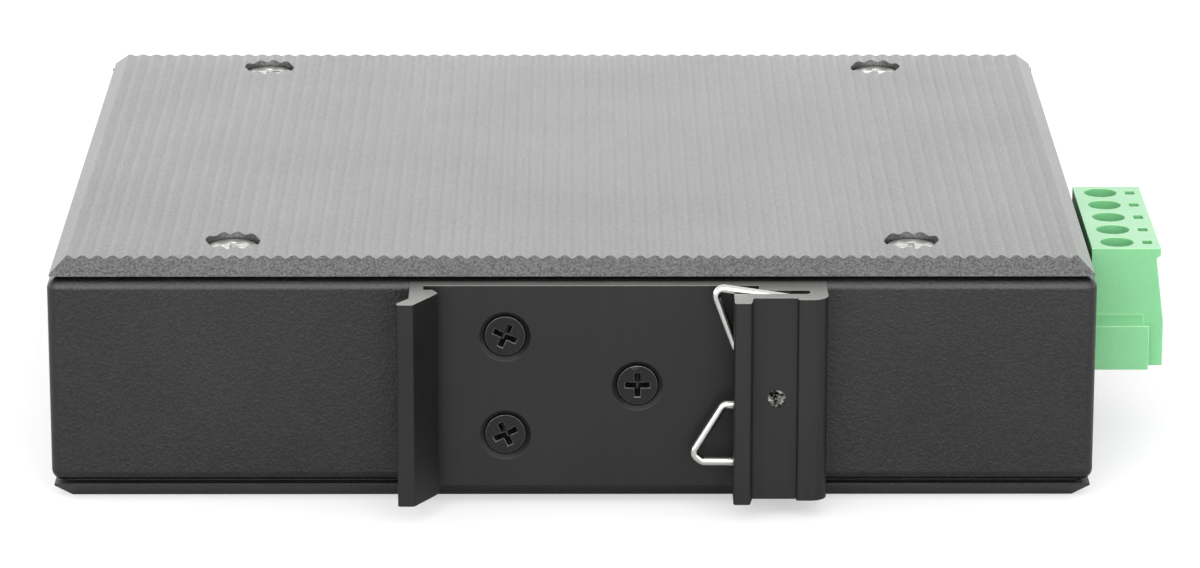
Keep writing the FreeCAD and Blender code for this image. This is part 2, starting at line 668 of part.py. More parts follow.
def make_case_frame():
    """Folded steel wrap: rear wall, two ends and the flanges that carry covers and board."""
    piece = Piece("case_frame")
    piece.add_box(("case_left", "case_rear", "-half_height"), ("case_right", "panel_back", "half_height"))
    front = number("panel_back")
    rear = number("case_rear")

    def folded(edge, middle):
        if upright(edge, middle):
            return abs(middle.y - rear) < NEAR
        return abs(middle.y - front) > NEAR
    piece.dress("Fillet", piece.edges(folded), "fold_radius")
    piece.cut_box(("case_left + sheet_thick", "case_rear + sheet_thick", "-flange_in"),
                  ("case_right - sheet_thick", "panel_back + cut_over", "flange_in"))
    piece.cut_box(("case_left + side_flange", "case_rear + end_flange", "-half_height - cut_over"),
                  ("case_right - side_flange", "panel_back + cut_over", "half_height + cut_over"))
    collars(piece, [("hole_left", "hole_rear"), ("hole_right", "hole_rear")])
    piece.add_discs("XZ", CLIP_SPOTS, "collar_diameter", "case_rear + sheet_thick",
                    "case_rear + sheet_thick + collar_height")
    piece.cut_discs("XZ", CLIP_SPOTS, "tap_diameter", "case_rear - cut_over",
                    "case_rear + sheet_thick + collar_height + cut_over")
    piece.cut_box(("case_right - sheet_thick - cut_over", "plug_middle - header_half - header_cutout",
                   "board_top - header_cutout"),
                  ("case_right + cut_over", "plug_middle + header_half + header_cutout",
                   "header_top + header_cutout"))
    NODES.append(piece.body)


def make_front_panel():
    """Folded steel front with the cut-outs of the ports and the lights."""
    piece = Piece("front_panel")
    piece.add_box(("case_left", "panel_back", "-half_height"), ("case_right", "case_front", "half_height"))
    front = number("case_front")

    def folded(edge, middle):
        return abs(middle.y - front) < NEAR
    inner = ("case_left + side_flange + flange_gap", "case_right - side_flange - flange_gap")
    for low, high in (("flange_in", "half_height"), ("-half_height", "-flange_in")):
        piece.add_box((inner[0], "case_front - end_flange", low), (inner[1], "panel_back", high))
    piece.dress("Fillet", piece.edges(folded), "panel_radius")
    collars(piece, [("hole_left", "hole_front"), ("hole_right", "hole_front")])
    for port in range(PORTS):
        middle = "first_port + %d * port_pitch" % port
        piece.cut_box((middle + " - shield_half - port_cutout_slack", "panel_back - cut_over",
                       "board_top"),
                      (middle + " + shield_half + port_cutout_slack", "case_front + cut_over",
                       "board_top + shield_top + port_cutout_slack"))
    piece.cut_discs("XZ", light_spots(), "light_diameter + 2 * hole_slack", "panel_back - cut_over",
                    "case_front + cut_over")
    NODES.append(piece.body)


# ------------------------------------------------------------------------------------ rail clip
CLIP_SPOTS = [("clip_screw_left", "clip_screw_spread"), ("clip_screw_left", "-clip_screw_spread"),
              ("clip_screw_right", "0")]
CROSS_TURNS = (-25, 25, 0)


def clip_outline():
    """Section of the rail clip: hook, plate and jaw, in X and Y."""
    return [
        ("hook_left", "clip_plate"), ("hook_left", "-hook_height + hook_lip + hook_lip_slope"),
        ("hook_left - hook_flare", "-hook_height + hook_lip"), ("hook_left - hook_flare", "-hook_height"),
        ("hook_left + hook_foot", "-hook_height"),
        ("hook_tip - hook_nose_set", "-rail_slot - hook_nose - hook_nose_slope"),
        ("hook_tip", "-rail_slot - hook_nose"), ("hook_tip - hook_lead", "-rail_slot"),
        ("-rail_edge", "-rail_slot"), ("-rail_edge", "0"),
        ("jaw_left", "0"), ("jaw_left", "-jaw_ledge"),
        ("jaw_slot_end", "-jaw_ledge"), ("jaw_slot_end", "jaw_web_rear"),
        ("jaw_lip", "jaw_web_rear"), ("jaw_lip", "jaw_block_front"),
        ("jaw_lip + jaw_block_width - jaw_block_slope", "jaw_block_front"),
        ("jaw_lip + jaw_block_width", "jaw_web_front"),
        ("jaw_bulge_left", "jaw_web_front"), ("jaw_bulge_left", "jaw_bulge_front"),
        ("jaw_right", "jaw_bulge_front"), ("jaw_right", "clip_plate"),
    ]


def make_clip():
    """Extruded aluminium rail clip with three countersunk holes and a staked dimple."""
    piece = Piece("din_clip")
    bar = piece.add_profile("XY", clip_outline(), "-clip_end", "clip_end")
    for indexes, radius in (([20], "jaw_bulge_radius"), ([12, 13], "jaw_slot_corner"),
                            ([2, 3, 4, 6, 15, 16, 19], "edge_radius")):
        piece.dress("Fillet", piece.corners(bar, indexes), radius)
    piece.cut_discs("XZ", CLIP_SPOTS, "pass_diameter", "-cut_over", "clip_plate + cut_over")

    def hole_rim(edge, middle):
        if not isinstance(edge.Curve, Part.Circle):
            return False
        return abs(edge.Curve.Center.y) < NEAR and abs(abs(edge.Curve.Axis.y) - 1) < NEAR
    piece.dress("Chamfer", piece.edges(hole_rim), "sink_depth")
    piece.cut_discs("XZ", [("stake_x", "0")], "stake_diameter", "jaw_web_front - cut_over",
                    "jaw_web_front + stake_depth")
    piece.add_discs("XZ", [("stake_x", "0")], "stake_boss", "jaw_web_rear", "-jaw_ledge - stake_gap")
    NODES.append(piece.body)


def clip_screw(label):
    """Countersunk screw along its own Z, head up, the top of the head at Z = 0."""
    piece = Piece(label)
    rim, shank = "clip_head_diameter / 2", "shank_diameter / 2"
    piece.turn([("0", "-clip_screw_length"), (shank, "-clip_screw_length"),
                (shank, "-clip_head_rim - (%s - %s)" % (rim, shank)), (rim, "-clip_head_rim"), (rim, "0"),
                ("0", "0")])
    piece.cut_profile("XY", cross_outline(), "-cross_depth", "cut_over")
    return piece


def make_clip_screws():
    """Three clip screws, each left at its own angle by the screwdriver."""
    parts = []
    for (x, z), angle in zip(CLIP_SPOTS, CROSS_TURNS):
        piece = clip_screw("clip_screw_%d" % (len(parts) + 1))
        turned = Rotation(Vector(1, 0, 0), 90).multiply(Rotation(Vector(0, 0, 1), angle))
        piece.body.Placement = Placement(Vector(), turned)
        piece.place(x, "clip_head_sunk", z)
        parts.append(piece.body)
    NODES.append(group("clip_screws", parts))


def bent_wire(points, bend, diameter):
    """Round wire through points, each bend cut short by one mitred run."""
    path = [points[0]]
    for before, corner, after in zip(points, points[1:], points[2:]):
        into = (corner - before).normalize()
        out = (after - corner).normalize()
        reach = bend * math.tan(into.getAngle(out) / 2)
        path += [corner - into * reach, corner + out * reach]
    path.append(points[-1])
    section = Part.Wire([Part.Circle(path[0], path[1] - path[0], diameter / 2).toShape()])
    return Part.makePolygon(path).makePipeShell([section], True, False, MITRED)


def make_spring():
    """Spring wire: an arm over the clip's end, an upper and a lower lobe, kept by the stake."""
    spots = [
        ("wire_wall - arm_start", "clip_end - arm_drop"), ("jaw_lip - arm_reach", "clip_end + arm_rise"),
        ("jaw_lip - lobe_turn", "clip_end - lobe_drop"), ("jaw_lip + lobe_back", "lobe_back_z"),
        ("stake_x + loop_side", "wire_round + loop_top"),
        ("stake_x + wire_round + loop_side", "wire_round - loop_side"),
        ("stake_x + wire_round", "-wire_round"), ("jaw_lip - tail_front", "-wire_round + tail_start"),
        ("jaw_lip - tail_reach", "tail_reach_z"), ("jaw_lip - tail_turn", "tail_turn_z"),
        ("wire_wall", "tail_end_z"),
    ]
    points = [Vector(worked(x), number("wire_y"), worked(z)) for x, z in spots]
    item = doc.addObject("Part::Feature", "clip_spring")
    item.Label = "clip_spring"
    item.Shape = bent_wire(points, number("wire_bend"), number("wire_diameter"))
    NODES.append(item)


# ---------------------------------------------------------------------------------------- board
POSTS = [(x, y) for x in ("post_left", "post_right") for y in ("post_rear", "post_front")]


def make_board():
    """Circuit board with its screw holes and the holes of the power pins."""
    piece = Piece("circuit_board")
    piece.add_box(("board_left", "board_rear", "board_under"), ("board_right", "board_front", "board_top"))
    piece.cut_discs("XY", POSTS, "pass_diameter", "board_under - cut_over", "board_top + cut_over")
    for pole in range(POLES):
        piece.cut_box(("tail_x - pin_hole / 2", pole_y(pole) + " - pin_hole / 2", "board_under - cut_over"),
                      ("tail_x + pin_hole / 2", pole_y(pole) + " + pin_hole / 2", "board_top + cut_over"))
    NODES.append(piece.body)


def make_board_fasteners():
    """Hexagonal standoffs on the lower flanges, and the screws that hold the board to them."""
    posts, screws = [], []
    for index, (x, y) in enumerate(POSTS, 1):
        post = Piece("standoff_%d" % index)
        across = "standoff_flats / 2"
        corner = "standoff_flats / 2 / cos(30 deg)"
        half = "standoff_flats / 4 / cos(30 deg)"
        hexagon = [(corner, "0"), (half, across), ("-(%s)" % half, across), ("-(%s)" % corner, "0"),
                   ("-(%s)" % half, "-(%s)" % across), (half, "-(%s)" % across)]
        post.add_profile("XY", hexagon, "0", "standoff_length")
        post.cut_discs("XY", [("0", "0")], "tap_diameter", "-cut_over", "standoff_length + cut_over")
        post.place(x, y, "-flange_in")
        posts.append(post.body)
        screw = Piece("board_screw_%d" % index)
        rim = "board_head_diameter / 2"
        screw.turn([("0", "-board_screw_length"), ("shank_diameter / 2", "-board_screw_length"),
                    ("shank_diameter / 2", "0"), (rim, "0"), (rim, "board_head_height"),
                    ("0", "board_head_height")])
        screw.cut_profile("XY", cross_outline(), "board_head_height - board_cross_depth",
                          "board_head_height + cut_over")
        screw.place(x, y, "board_top")
        screws.append(screw.body)
    NODES.append(group("board_standoffs", posts))
    NODES.append(group("board_screws", screws))


def make_board_parts():
    """Main parts that stand on the board."""
    chip = Piece("switch_chip")
    chip.add_box(("-chip_size / 2", "-chip_size / 2", "0"), ("chip_size / 2", "chip_size / 2", "chip_height"))
    rim = number("chip_height")
    chip.dress("Chamfer", chip.edges(lambda edge, middle: middle.z > rim - NEAR), "chip_edge")
    chip.place("case_offset", "cover_middle", "board_top")
    crystal = Piece("crystal")
    crystal.add_box(("-crystal_length / 2", "-crystal_width / 2", "0"),
                    ("crystal_length / 2", "crystal_width / 2", "crystal_height"))
    crystal.dress("Chamfer", crystal.edges(upright), "crystal_corner")
    crystal.place("case_offset - chip_size", "cover_middle", "board_top")
    coil = Piece("power_inductor")
    coil.add_box(("-coil_size / 2", "-coil_size / 2", "0"), ("coil_size / 2", "coil_size / 2", "coil_height"))
    coil.dress("Chamfer", coil.edges(upright), "coil_corner")
    coil.place("tail_x - coil_size", "plug_middle - pole_pitch", "board_top")
    can = Piece("capacitor")
    can.add_discs("XY", [("0", "0")], "can_diameter", "0", "can_height")
    can.place("tail_x - coil_size", "plug_middle + pole_pitch + coil_size / 2", "board_top")
    NODES.extend([chip.body, crystal.body, coil.body, can.body])


# ---------------------------------------------------------------------------------------- ports
def make_jack_housing(port):
    """Moulded insert of a network port: cavity with its latch notch, and a comb for the contacts."""
    piece = Piece("jack_housing_%d" % port)
    piece.add_box(("-jack_width / 2", "-jack_depth", "0"), ("jack_width / 2", "0", "jack_height"))
    piece.cut_box(("-jack_cavity_width / 2", "-jack_cavity_depth", "jack_cavity_floor"),
                  ("jack_cavity_width / 2", "cut_over", "cavity_top"))
    piece.cut_box(("-latch_width / 2", "-jack_cavity_depth", "jack_cavity_floor - latch_drop"),
                  ("latch_width / 2", "cut_over", "jack_cavity_floor + cut_over"))
    piece.cut_box(("-comb_half", "-jack_depth - cut_over", "-cut_over"),
                  ("comb_half", "-jack_depth + comb_depth", "comb_top"))
    piece.cut_box(("-comb_half", "-jack_depth", "comb_top - 3 * contact_thick"),
                  ("comb_half", "-jack_cavity_depth + cut_over", "comb_top"))
    return piece


def make_jack_shield(port):
    """Sheet shield folded round the jack's top, sides and back."""
    piece = Piece("jack_shield_%d" % port)
    piece.add_box(("-shield_half", "-shield_back", "0"), ("shield_half", "0", "shield_top"))
    piece.cut_box(("-shield_half + shield_thick", "-shield_back + shield_thick", "-cut_over"),
                  ("shield_half - shield_thick", "cut_over", "shield_top - shield_thick"))
    return piece


def make_jack_contacts(port):
    """Eight contact strips: up from the board behind the comb, forward, and down into the cavity."""
    piece = Piece("jack_contacts_%d" % port)
    back = "-jack_depth + comb_depth - 2 * contact_thick"
    under = "comb_top - 2 * contact_thick"
    over = "comb_top - contact_thick"
    tip = "-jack_cavity_depth + contact_run"
    strip = [(back, "0"), (back + " + contact_thick", "0"), (back + " + contact_thick", under),
             ("-jack_cavity_depth + contact_bend", under), (tip, under + " - contact_dip"),
             (tip, over + " - contact_dip"), ("-jack_cavity_depth + contact_bend", over), (back, over)]
    first = "-(%d - 1) / 2 * contact_pitch - contact_width / 2" % CONTACTS
    piece.repeat(piece.add_profile("YZ", strip, first, first + " + contact_width"), "contact_pitch", CONTACTS)
    return piece


def make_ports():
    """Five ports side by side, their mouths flush with the panel."""
    for port in range(PORTS):
        for maker in (make_jack_housing, make_jack_shield, make_jack_contacts):
            piece = maker(port + 1)
            piece.place("first_port + %d * port_pitch" % port, "case_front", "board_top")
            NODES.append(piece.body)


# --------------------------------------------------------------------------------------- lights
def light_spots():
    """Centres of the six status lights, two columns of three, in X and Z."""
    return [("light_first_x + %d * light_pitch" % column, "light_first_z + %d * light_pitch" % row)
            for column in range(2) for row in range(3)]


def make_lights():
    """Status lights in a moulded holder behind the panel."""
    holder = Piece("light_holder")
    low_x, high_x = "light_first_x - light_diameter / 2", "light_first_x + light_pitch + light_diameter / 2"
    holder.add_box((low_x + " - light_block_margin", "light_block_front - light_block_depth", "board_top"),
                   (high_x + " + light_block_margin", "light_block_front",
                    "light_first_z + 2 * light_pitch + light_diameter / 2 + light_block_cap"))
    holder.cut_discs("XZ", light_spots(), "light_diameter + 2 * thread_slack",
                     "light_block_front - light_seat", "case_front")
    NODES.append(holder.body)
    parts = []
    for index, (x, z) in enumerate(light_spots(), 1):
        light = Piece("status_light_%d" % index)
        end = "light_seat + case_front - light_block_front + light_stand"
        light.turn([("0", "0"), ("light_diameter / 2", "0"), ("light_diameter / 2", end), ("0", end)])
        light.body.Placement = Placement(Vector(), Rotation(Vector(1, 0, 0), -90))
        light.place(x, "light_block_front - light_seat", z)
        parts.append(light.body)
    NODES.append(group("status_lights", parts))


# ------------------------------------------------------------------------------ power connector
def pole_y(pole):
    """Middle of one pole along Y."""
    return "plug_near + (%d + 0.5) * pole_pitch" % pole


def make_header():
    """Fixed half of the power connector: an open box with a thick floor on the board."""
    piece = Piece("terminal_header")
    piece.add_box(("header_left", "plug_middle - header_half", "board_top"),
                  ("case_right", "plug_middle + header_half", "header_top"))
    piece.cut_box(("header_left + header_back", "plug_middle - header_half + header_wall",
                   "nose_bottom - nose_slack"),
                  ("case_right + cut_over", "plug_middle + header_half - header_wall",
                   "nose_top + nose_slack"))
    for pole in range(POLES):
        half = "(pin_size / 2 + pin_slack)"
        piece.cut_box(("header_left - cut_over", "%s - %s" % (pole_y(pole), half), "pin_z - (%s)" % half),
                      ("header_left + header_back + cut_over", "%s + %s" % (pole_y(pole), half),
                       "pin_z + %s" % half))
    NODES.append(piece.body)


def make_header_pins():
    """Square pins, bent down through the board behind the header."""
    for pole in range(POLES):
        piece = Piece("header_pin_%d" % (pole + 1))
        half = "pin_size / 2"
        angle = [("tail_x - " + half, "board_under - pin_tail"), ("tail_x + " + half, "board_under - pin_tail"),
                 ("tail_x + " + half, "pin_z - " + half), ("pin_end", "pin_z - " + half),
                 ("pin_end", "pin_z + " + half), ("tail_x - " + half, "pin_z + " + half)]
        bar = piece.add_profile("XZ", angle, "-pin_size / 2", "pin_size / 2")
        piece.dress("Fillet", piece.corners(bar, [5]), "pin_bend")
        piece.place("0", pole_y(pole), "0")
        NODES.append(piece.body)


def plug_outline():
    """Side of the plug in X and Z: shoulder, lip along the top edge and the flared outer face."""
    return [
        ("plug_inner", "plug_bottom"), ("plug_outer", "plug_bottom"),
        ("plug_outer", "plug_bottom + end_block_height"),
        ("plug_outer - plug_waist", "plug_top - plug_lip - plug_lip_slope"),
        ("plug_outer - plug_lip_set", "plug_top - plug_lip"),
        ("plug_outer - plug_lip_set", "plug_top"), ("plug_inner", "plug_top"),
    ]


def make_plug():
    """Moulded housing of the plug: five cells, each with a screw well, a wire entry and a channel."""
    piece = Piece("terminal_plug")
    far = "plug_near + plug_length"
    piece.add_profile("XZ", plug_outline(), "plug_near", far)
    piece.add_box(("nose_tip", "plug_near + cell_wall / 2", "nose_bottom"),
                  ("plug_inner", far + " - cell_wall / 2", "nose_top"))
    piece.add_box(("plug_inner", "plug_near - end_block", "plug_bottom"),
                  ("plug_inner + end_block_width", "plug_near", "plug_bottom + end_block_height"))
    shelf = "plug_bottom + end_block_height"
    piece.add_profile("YZ", [("plug_near - end_block", shelf), ("plug_near", shelf),
                             ("plug_near", shelf + " + end_slope")],
                      "plug_inner", "plug_inner + end_block_width - end_slope_short")
    cell_outer = "cell_inner + cell_length"
    for pole in range(POLES):
        middle = pole_y(pole)
        near, away = middle + " - cell_half", middle + " + cell_half"
        piece.cut_box(("cell_inner", near, "cell_bottom"), (cell_outer, away, "head_bottom"))
        piece.cut_box((cell_outer + " - cut_over", middle + " - entry_width / 2", "entry_bottom"),
                      ("plug_outer + cut_over", middle + " + entry_width / 2", "entry_bottom + entry_height"))
        slot = "(bar_width / 2 + bar_slack)"
        piece.cut_box(("nose_tip - cut_over", "%s - %s" % (middle, slot), "pin_z - sleeve_half - bar_slack"),
                      ("cell_inner + cut_over", "%s + %s" % (middle, slot), "bar_top + bar_slack"))
    wells = [("screw_x", pole_y(pole)) for pole in range(POLES)]
    piece.cut_discs("XY", wells, "well_diameter", "head_bottom", "plug_top + cut_over")
    for pole in range(POLES):
        middle = pole_y(pole)
        piece.cut_box(("screw_x + test_hole_x - test_hole_width / 2", middle + " - test_hole_length / 2",
                       "plug_top - test_hole_depth"),
                      ("screw_x + test_hole_x + test_hole_width / 2", middle + " + test_hole_length / 2",
                       "plug_top + cut_over"))
    NODES.append(piece.body)


def make_plug_metal():
    """In each cell: the current bar with its pin sleeve, the lifting cage and the screw."""
    bars, cages, screws = [], [], []
    for pole in range(POLES):
        bar = Piece("plug_contact_%d" % (pole + 1))
        edge = "bar_width / 2"
        bar.add_box(("sleeve_left", "-" + edge, "pin_z - sleeve_half"),
                    ("sleeve_right", edge, "pin_z + sleeve_half"))
        hole = "(pin_size / 2 + sleeve_slack)"
        bar.cut_box(("sleeve_left - cut_over", "-" + hole, "pin_z - " + hole),
                    ("sleeve_right + cut_over", hole, "pin_z + " + hole))
        bar.add_box(("sleeve_right - bar_thick", "-" + edge, "pin_z + " + hole),
                    ("sleeve_right", edge, "bar_top"))
        bar.add_box(("sleeve_right - bar_thick", "-" + edge, "bar_bottom"),
                    ("cell_inner + cell_length - cage_slack", edge, "bar_top"))
        cage = Piece("clamp_cage_%d" % (pole + 1))
        cage_left, cage_right = "screw_x - cage_length / 2", "screw_x + cage_length / 2"
        cage.add_box((cage_left, "-cage_half", "cage_bottom"), (cage_right, "cage_half", "cage_top"))
        cage.cut_box((cage_left + " - cut_over", "-cage_half + cage_wall", "cage_bottom + cage_wall"),
                     (cage_right + " + cut_over", "cage_half - cage_wall", "window_top"))
        cage.cut_discs("XY", [("screw_x", "0")], "screw_thread + 2 * thread_slack", "window_top - cut_over",
                       "cage_top + cut_over")
        screw = Piece("clamp_screw_%d" % (pole + 1))
        rim, thread = "screw_head / 2", "screw_thread / 2"
        screw.turn([("0", "screw_tip"), (thread, "screw_tip"), (thread, "head_bottom"), (rim, "head_bottom"),
                    (rim, "head_top"), ("0", "head_top")])
        screw.cut_box(("-screw_head", "-screw_slot / 2", "head_top - screw_slot_depth"),
                      ("screw_head", "screw_slot / 2", "head_top + cut_over"))
        bar.place("0", pole_y(pole), "0")
        cage.place("0", pole_y(pole), "0")
        screw.place("screw_x", pole_y(pole), "0")
        bars.append(bar.body)
        cages.append(cage.body)
        screws.append(screw.body)
    NODES.extend(bars + cages + screws)


# ----------------------------------------------------------------------------------------- main
def check_document():
    """Stop if an object failed or a node's shape isn't sound."""
    doc.recompute()
    for item in doc.Objects:
        if "Invalid" in item.State or "Error" in item.State:
            raise RuntimeError("%s failed: %s" % (item.Label, item.State))
    for node in NODES:
        if node.Shape.isNull() or not node.Shape.isValid() or not node.Shape.Solids:
            raise RuntimeError("%s has no sound shape" % node.Label)


def main():
    """Build every piece and write one STEP file for each node."""
    fill_sheets()
    make_covers()
    make_case_frame()
    make_front_panel()
    make_clip()
    make_clip_screws()
    make_spring()
    make_board()
    make_board_fasteners()
    make_board_parts()
    make_ports()
    make_lights()
    make_header()
    make_header_pins()
    make_plug()
    make_plug_metal()
    check_document()
    os.makedirs("parts", exist_ok=True)
    for node in NODES:
        node.Shape.exportStep("parts/%s.step" % node.Label)
        box = node.Shape.BoundBox
        print("%-22s solids %d  volume %9.1f  X %7.2f %7.2f  Y %7.2f %7.2f  Z %7.2f %7.2f" % (
            node.Label, len(node.Shape.Solids), node.Shape.Volume, box.XMin, box.XMax, box.YMin, box.YMax,
            box.ZMin, box.ZMax))
    print(len(NODES), "nodes")


main()
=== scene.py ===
"""Looks of a flat metal ethernet switch for a mounting rail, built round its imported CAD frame.

Lengths are metres in the frame of the CAD model; sizes kept in the classes are millimetres.
"""

import logging
import math
from dataclasses import dataclass
from enum import Enum
from typing import Callable, Optional, Sequence

import bpy
import bmesh
from mathutils import Matrix, Vector


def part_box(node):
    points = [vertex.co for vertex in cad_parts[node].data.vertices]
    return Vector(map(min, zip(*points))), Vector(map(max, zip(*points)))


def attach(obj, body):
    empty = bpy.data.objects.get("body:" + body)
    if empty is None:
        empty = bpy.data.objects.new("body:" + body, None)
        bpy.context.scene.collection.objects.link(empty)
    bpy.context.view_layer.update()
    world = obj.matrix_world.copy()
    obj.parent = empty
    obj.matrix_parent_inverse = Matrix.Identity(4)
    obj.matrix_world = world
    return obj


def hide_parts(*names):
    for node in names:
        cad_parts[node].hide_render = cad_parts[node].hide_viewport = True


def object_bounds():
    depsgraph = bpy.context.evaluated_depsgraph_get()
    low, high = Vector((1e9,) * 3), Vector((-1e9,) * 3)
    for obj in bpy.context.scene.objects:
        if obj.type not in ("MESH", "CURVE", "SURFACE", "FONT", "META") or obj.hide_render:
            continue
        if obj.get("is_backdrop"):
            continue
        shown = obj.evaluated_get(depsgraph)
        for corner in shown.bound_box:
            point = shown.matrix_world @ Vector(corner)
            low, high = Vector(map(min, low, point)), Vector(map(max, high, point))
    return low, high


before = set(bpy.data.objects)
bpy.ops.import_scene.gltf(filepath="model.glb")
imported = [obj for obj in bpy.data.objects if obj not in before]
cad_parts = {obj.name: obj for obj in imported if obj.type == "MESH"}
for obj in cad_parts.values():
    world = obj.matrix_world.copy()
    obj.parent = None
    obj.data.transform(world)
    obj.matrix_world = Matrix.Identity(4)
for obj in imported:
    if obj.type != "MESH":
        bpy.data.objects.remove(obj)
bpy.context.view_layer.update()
LOG = logging.getLogger("rail_switch")
MM = 0.001  # metres in a millimetre
SAME_POINT = 1e-6  # metres: corners that lie closer together are one
ON_PLANE = 1e-7  # metres: a corner this near a cutting plane lies on it
FLAT_ANGLE = 0.5  # degrees: faces that meet at less are one face
SHARP_ANGLE = 35.0  # degrees: edges sharper than this are broken
SMOOTH_ANGLE = 32.0  # degrees: edges sharper than this stay crisp in the shading
EDGE_STEPS = 2  # facets across a broken edge


# ------------------------------------------------------------------------------ mesh tools
def deselect_all() -> None:
    """Leave nothing selected or active, in object mode."""
    if bpy.context.object and bpy.context.object.mode != "OBJECT":
        bpy.ops.object.mode_set(mode="OBJECT")
    bpy.ops.object.select_all(action="DESELECT")


def focus(obj: bpy.types.Object) -> None:
    """Make one object the only selected and active one.

    Args:
        obj: Object to work on.
    """
    deselect_all()
    obj.select_set(True)
    bpy.context.view_layer.objects.active = obj


def edit(obj: bpy.types.Object, mode: str = "FACE") -> None:
    """Enter edit mode on one object with nothing selected.

    Args:
        obj: Object to edit.
        mode: Kind of element that selections use: VERT, EDGE or FACE.
    """
    focus(obj)
    bpy.ops.object.mode_set(mode="EDIT")
    bpy.ops.mesh.select_mode(type=mode)
    bpy.ops.mesh.select_all(action="DESELECT")


def pick(obj: bpy.types.Object, test: Callable[[object], bool], kind: str = "FACE") -> None:
    """Select the elements that pass a test, in edit mode.

    Args:
        obj: Object in edit mode.
        test: Called with each BMesh vertex, edge or face.
        kind: VERT, EDGE or FACE.
    """
    mesh = bmesh.from_edit_mesh(obj.data)
    for element in {"VERT": mesh.verts, "EDGE": mesh.edges, "FACE": mesh.faces}[kind]:
        element.select_set(bool(test(element)))
    bmesh.update_edit_mesh(obj.data)


def cut_away(point: Vector, outward: Vector) -> None:
    """Cut the mesh in edit mode with a plane, drop what lies outside it and close the cut.

    Args:
        point: A point on the plane.
        outward: Direction of the side that is dropped.
    """
    bpy.ops.mesh.select_all(action="SELECT")
    bpy.ops.mesh.bisect(plane_co=point, plane_no=outward, use_fill=True, clear_outer=True,
                        threshold=ON_PLANE)


def fix_place(obj: bpy.types.Object) -> None:
    """Put an object's place, turn and scale in its mesh, in object mode.

    Args:
        obj: Object whose origin goes to the frame's origin.
    """
    focus(obj)
    bpy.ops.object.transform_apply(location=True, rotation=True, scale=True)


def add_block(name: str, low: Vector, high: Vector) -> bpy.types.Object:
    """Block between two corners, to be shaped further.

    Args:
        name: Name of the new object.
        low: Lowest corner in metres.
        high: Highest corner in metres.

    Returns:
        The new object, its place in its mesh.
    """
    deselect_all()
    bpy.ops.mesh.primitive_cube_add(size=1.0, location=(Vector(low) + Vector(high)) / 2)
    obj = bpy.context.object
    obj.name = name
    obj.scale = Vector(high) - Vector(low)
    fix_place(obj)
    return obj


def add_disc(name: str, centre: Vector, radius: float, depth: float, sides: int) -> bpy.types.Object:
    """Upright cylinder centred at a point, to cut a round hole with.

    Args:
        name: Name of the new object.
        centre: Middle of the cylinder in metres.
        radius: Radius in metres.
        depth: Length in metres.
        sides: Facets round it.

    Returns:
        The new object, its place in its mesh.
    """
    deselect_all()
    bpy.ops.mesh.primitive_cylinder_add(vertices=sides, radius=radius, depth=depth, location=centre)
    obj = bpy.context.object
    obj.name = name
    fix_place(obj)
    return obj


def carve(obj: bpy.types.Object, tools: Sequence[bpy.types.Object]) -> None:
    """Cut tools out of an object, one after the other, and delete them.

    Args:
        obj: Object to change.
        tools: Closed meshes.
    """
    for tool in tools:
        focus(obj)
        modifier = obj.modifiers.new("carve", "BOOLEAN")
        modifier.operation = "DIFFERENCE"
        modifier.solver = "EXACT"
        modifier.object = tool
        bpy.ops.object.modifier_apply(modifier=modifier.name)
        bpy.data.objects.remove(tool)


def soften(obj: bpy.types.Object, width: float, angle: float = SHARP_ANGLE) -> None:
    """Break the sharp edges of a mesh with a small applied bevel.

    Args:
        obj: Object to change.
        width: Bevel width in millimetres.
        angle: Edges sharper than this are broken, in degrees.
    """
    focus(obj)
    modifier = obj.modifiers.new("soften", "BEVEL")
    modifier.width = width * MM
    modifier.segments = EDGE_STEPS
    modifier.limit_method = "ANGLE"
    modifier.angle_limit = math.radians(angle)
    modifier.harden_normals = False
    bpy.ops.object.modifier_apply(modifier=modifier.name)


def smooth(obj: bpy.types.Object, angle: float = SMOOTH_ANGLE) -> None:
    """Shade smooth, with flat faces kept flat and edges sharper than an angle kept crisp.

    Args:
        obj: Object to shade.
        angle: Limit in degrees.
    """
    focus(obj)
    bpy.ops.object.shade_smooth_by_angle(angle=math.radians(angle))
    modifier = obj.modifiers.new("flatten", "WEIGHTED_NORMAL")
    modifier.mode = "FACE_AREA"
    modifier.weight = 100
    modifier.keep_sharp = True
    bpy.ops.object.modifier_apply(modifier=modifier.name)


def copy_node(node: str, name: str) -> bpy.types.Object:
    """Merged copy of a CAD node's mesh, ready to be dressed.

    Args:
        node: Name of the CAD node.
        name: Name of the copy.

    Returns:
        The copy, with flat regions joined into single faces.
    """
    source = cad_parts[node]
    obj = bpy.data.objects.new(name, source.data.copy())
    bpy.context.scene.collection.objects.link(obj)
    obj.data.materials.clear()
    edit(obj)
    bpy.ops.mesh.select_all(action="SELECT")
    bpy.ops.mesh.remove_doubles(threshold=SAME_POINT)
    if obj.data.has_custom_normals:
        bpy.ops.mesh.customdata_custom_splitnormals_clear()
    bpy.ops.mesh.dissolve_limited(angle_limit=math.radians(FLAT_ANGLE))
    bpy.ops.mesh.select_all(action="DESELECT")
    bpy.ops.object.mode_set(mode="OBJECT")
    return obj


def settle(obj: bpy.types.Object, body: str, slot: str, material: bpy.types.Material,
           *nodes: str) -> bpy.types.Object:
    """Give a finished piece its material and its body, and hide the nodes it stands for.

    Args:
        obj: Finished piece.
        body: CAD body that carries it.
        slot: Material slot of the record; not used.
        material: Blender material.
        nodes: CAD nodes that it replaces.

    Returns:
        The same piece.
    """
    obj.data.materials.clear()
    obj.data.materials.append(material)
    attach(obj, body)
    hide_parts(*nodes)
    LOG.info("%s rides on %s, %d faces", obj.name, body, len(obj.data.polygons))
    return obj


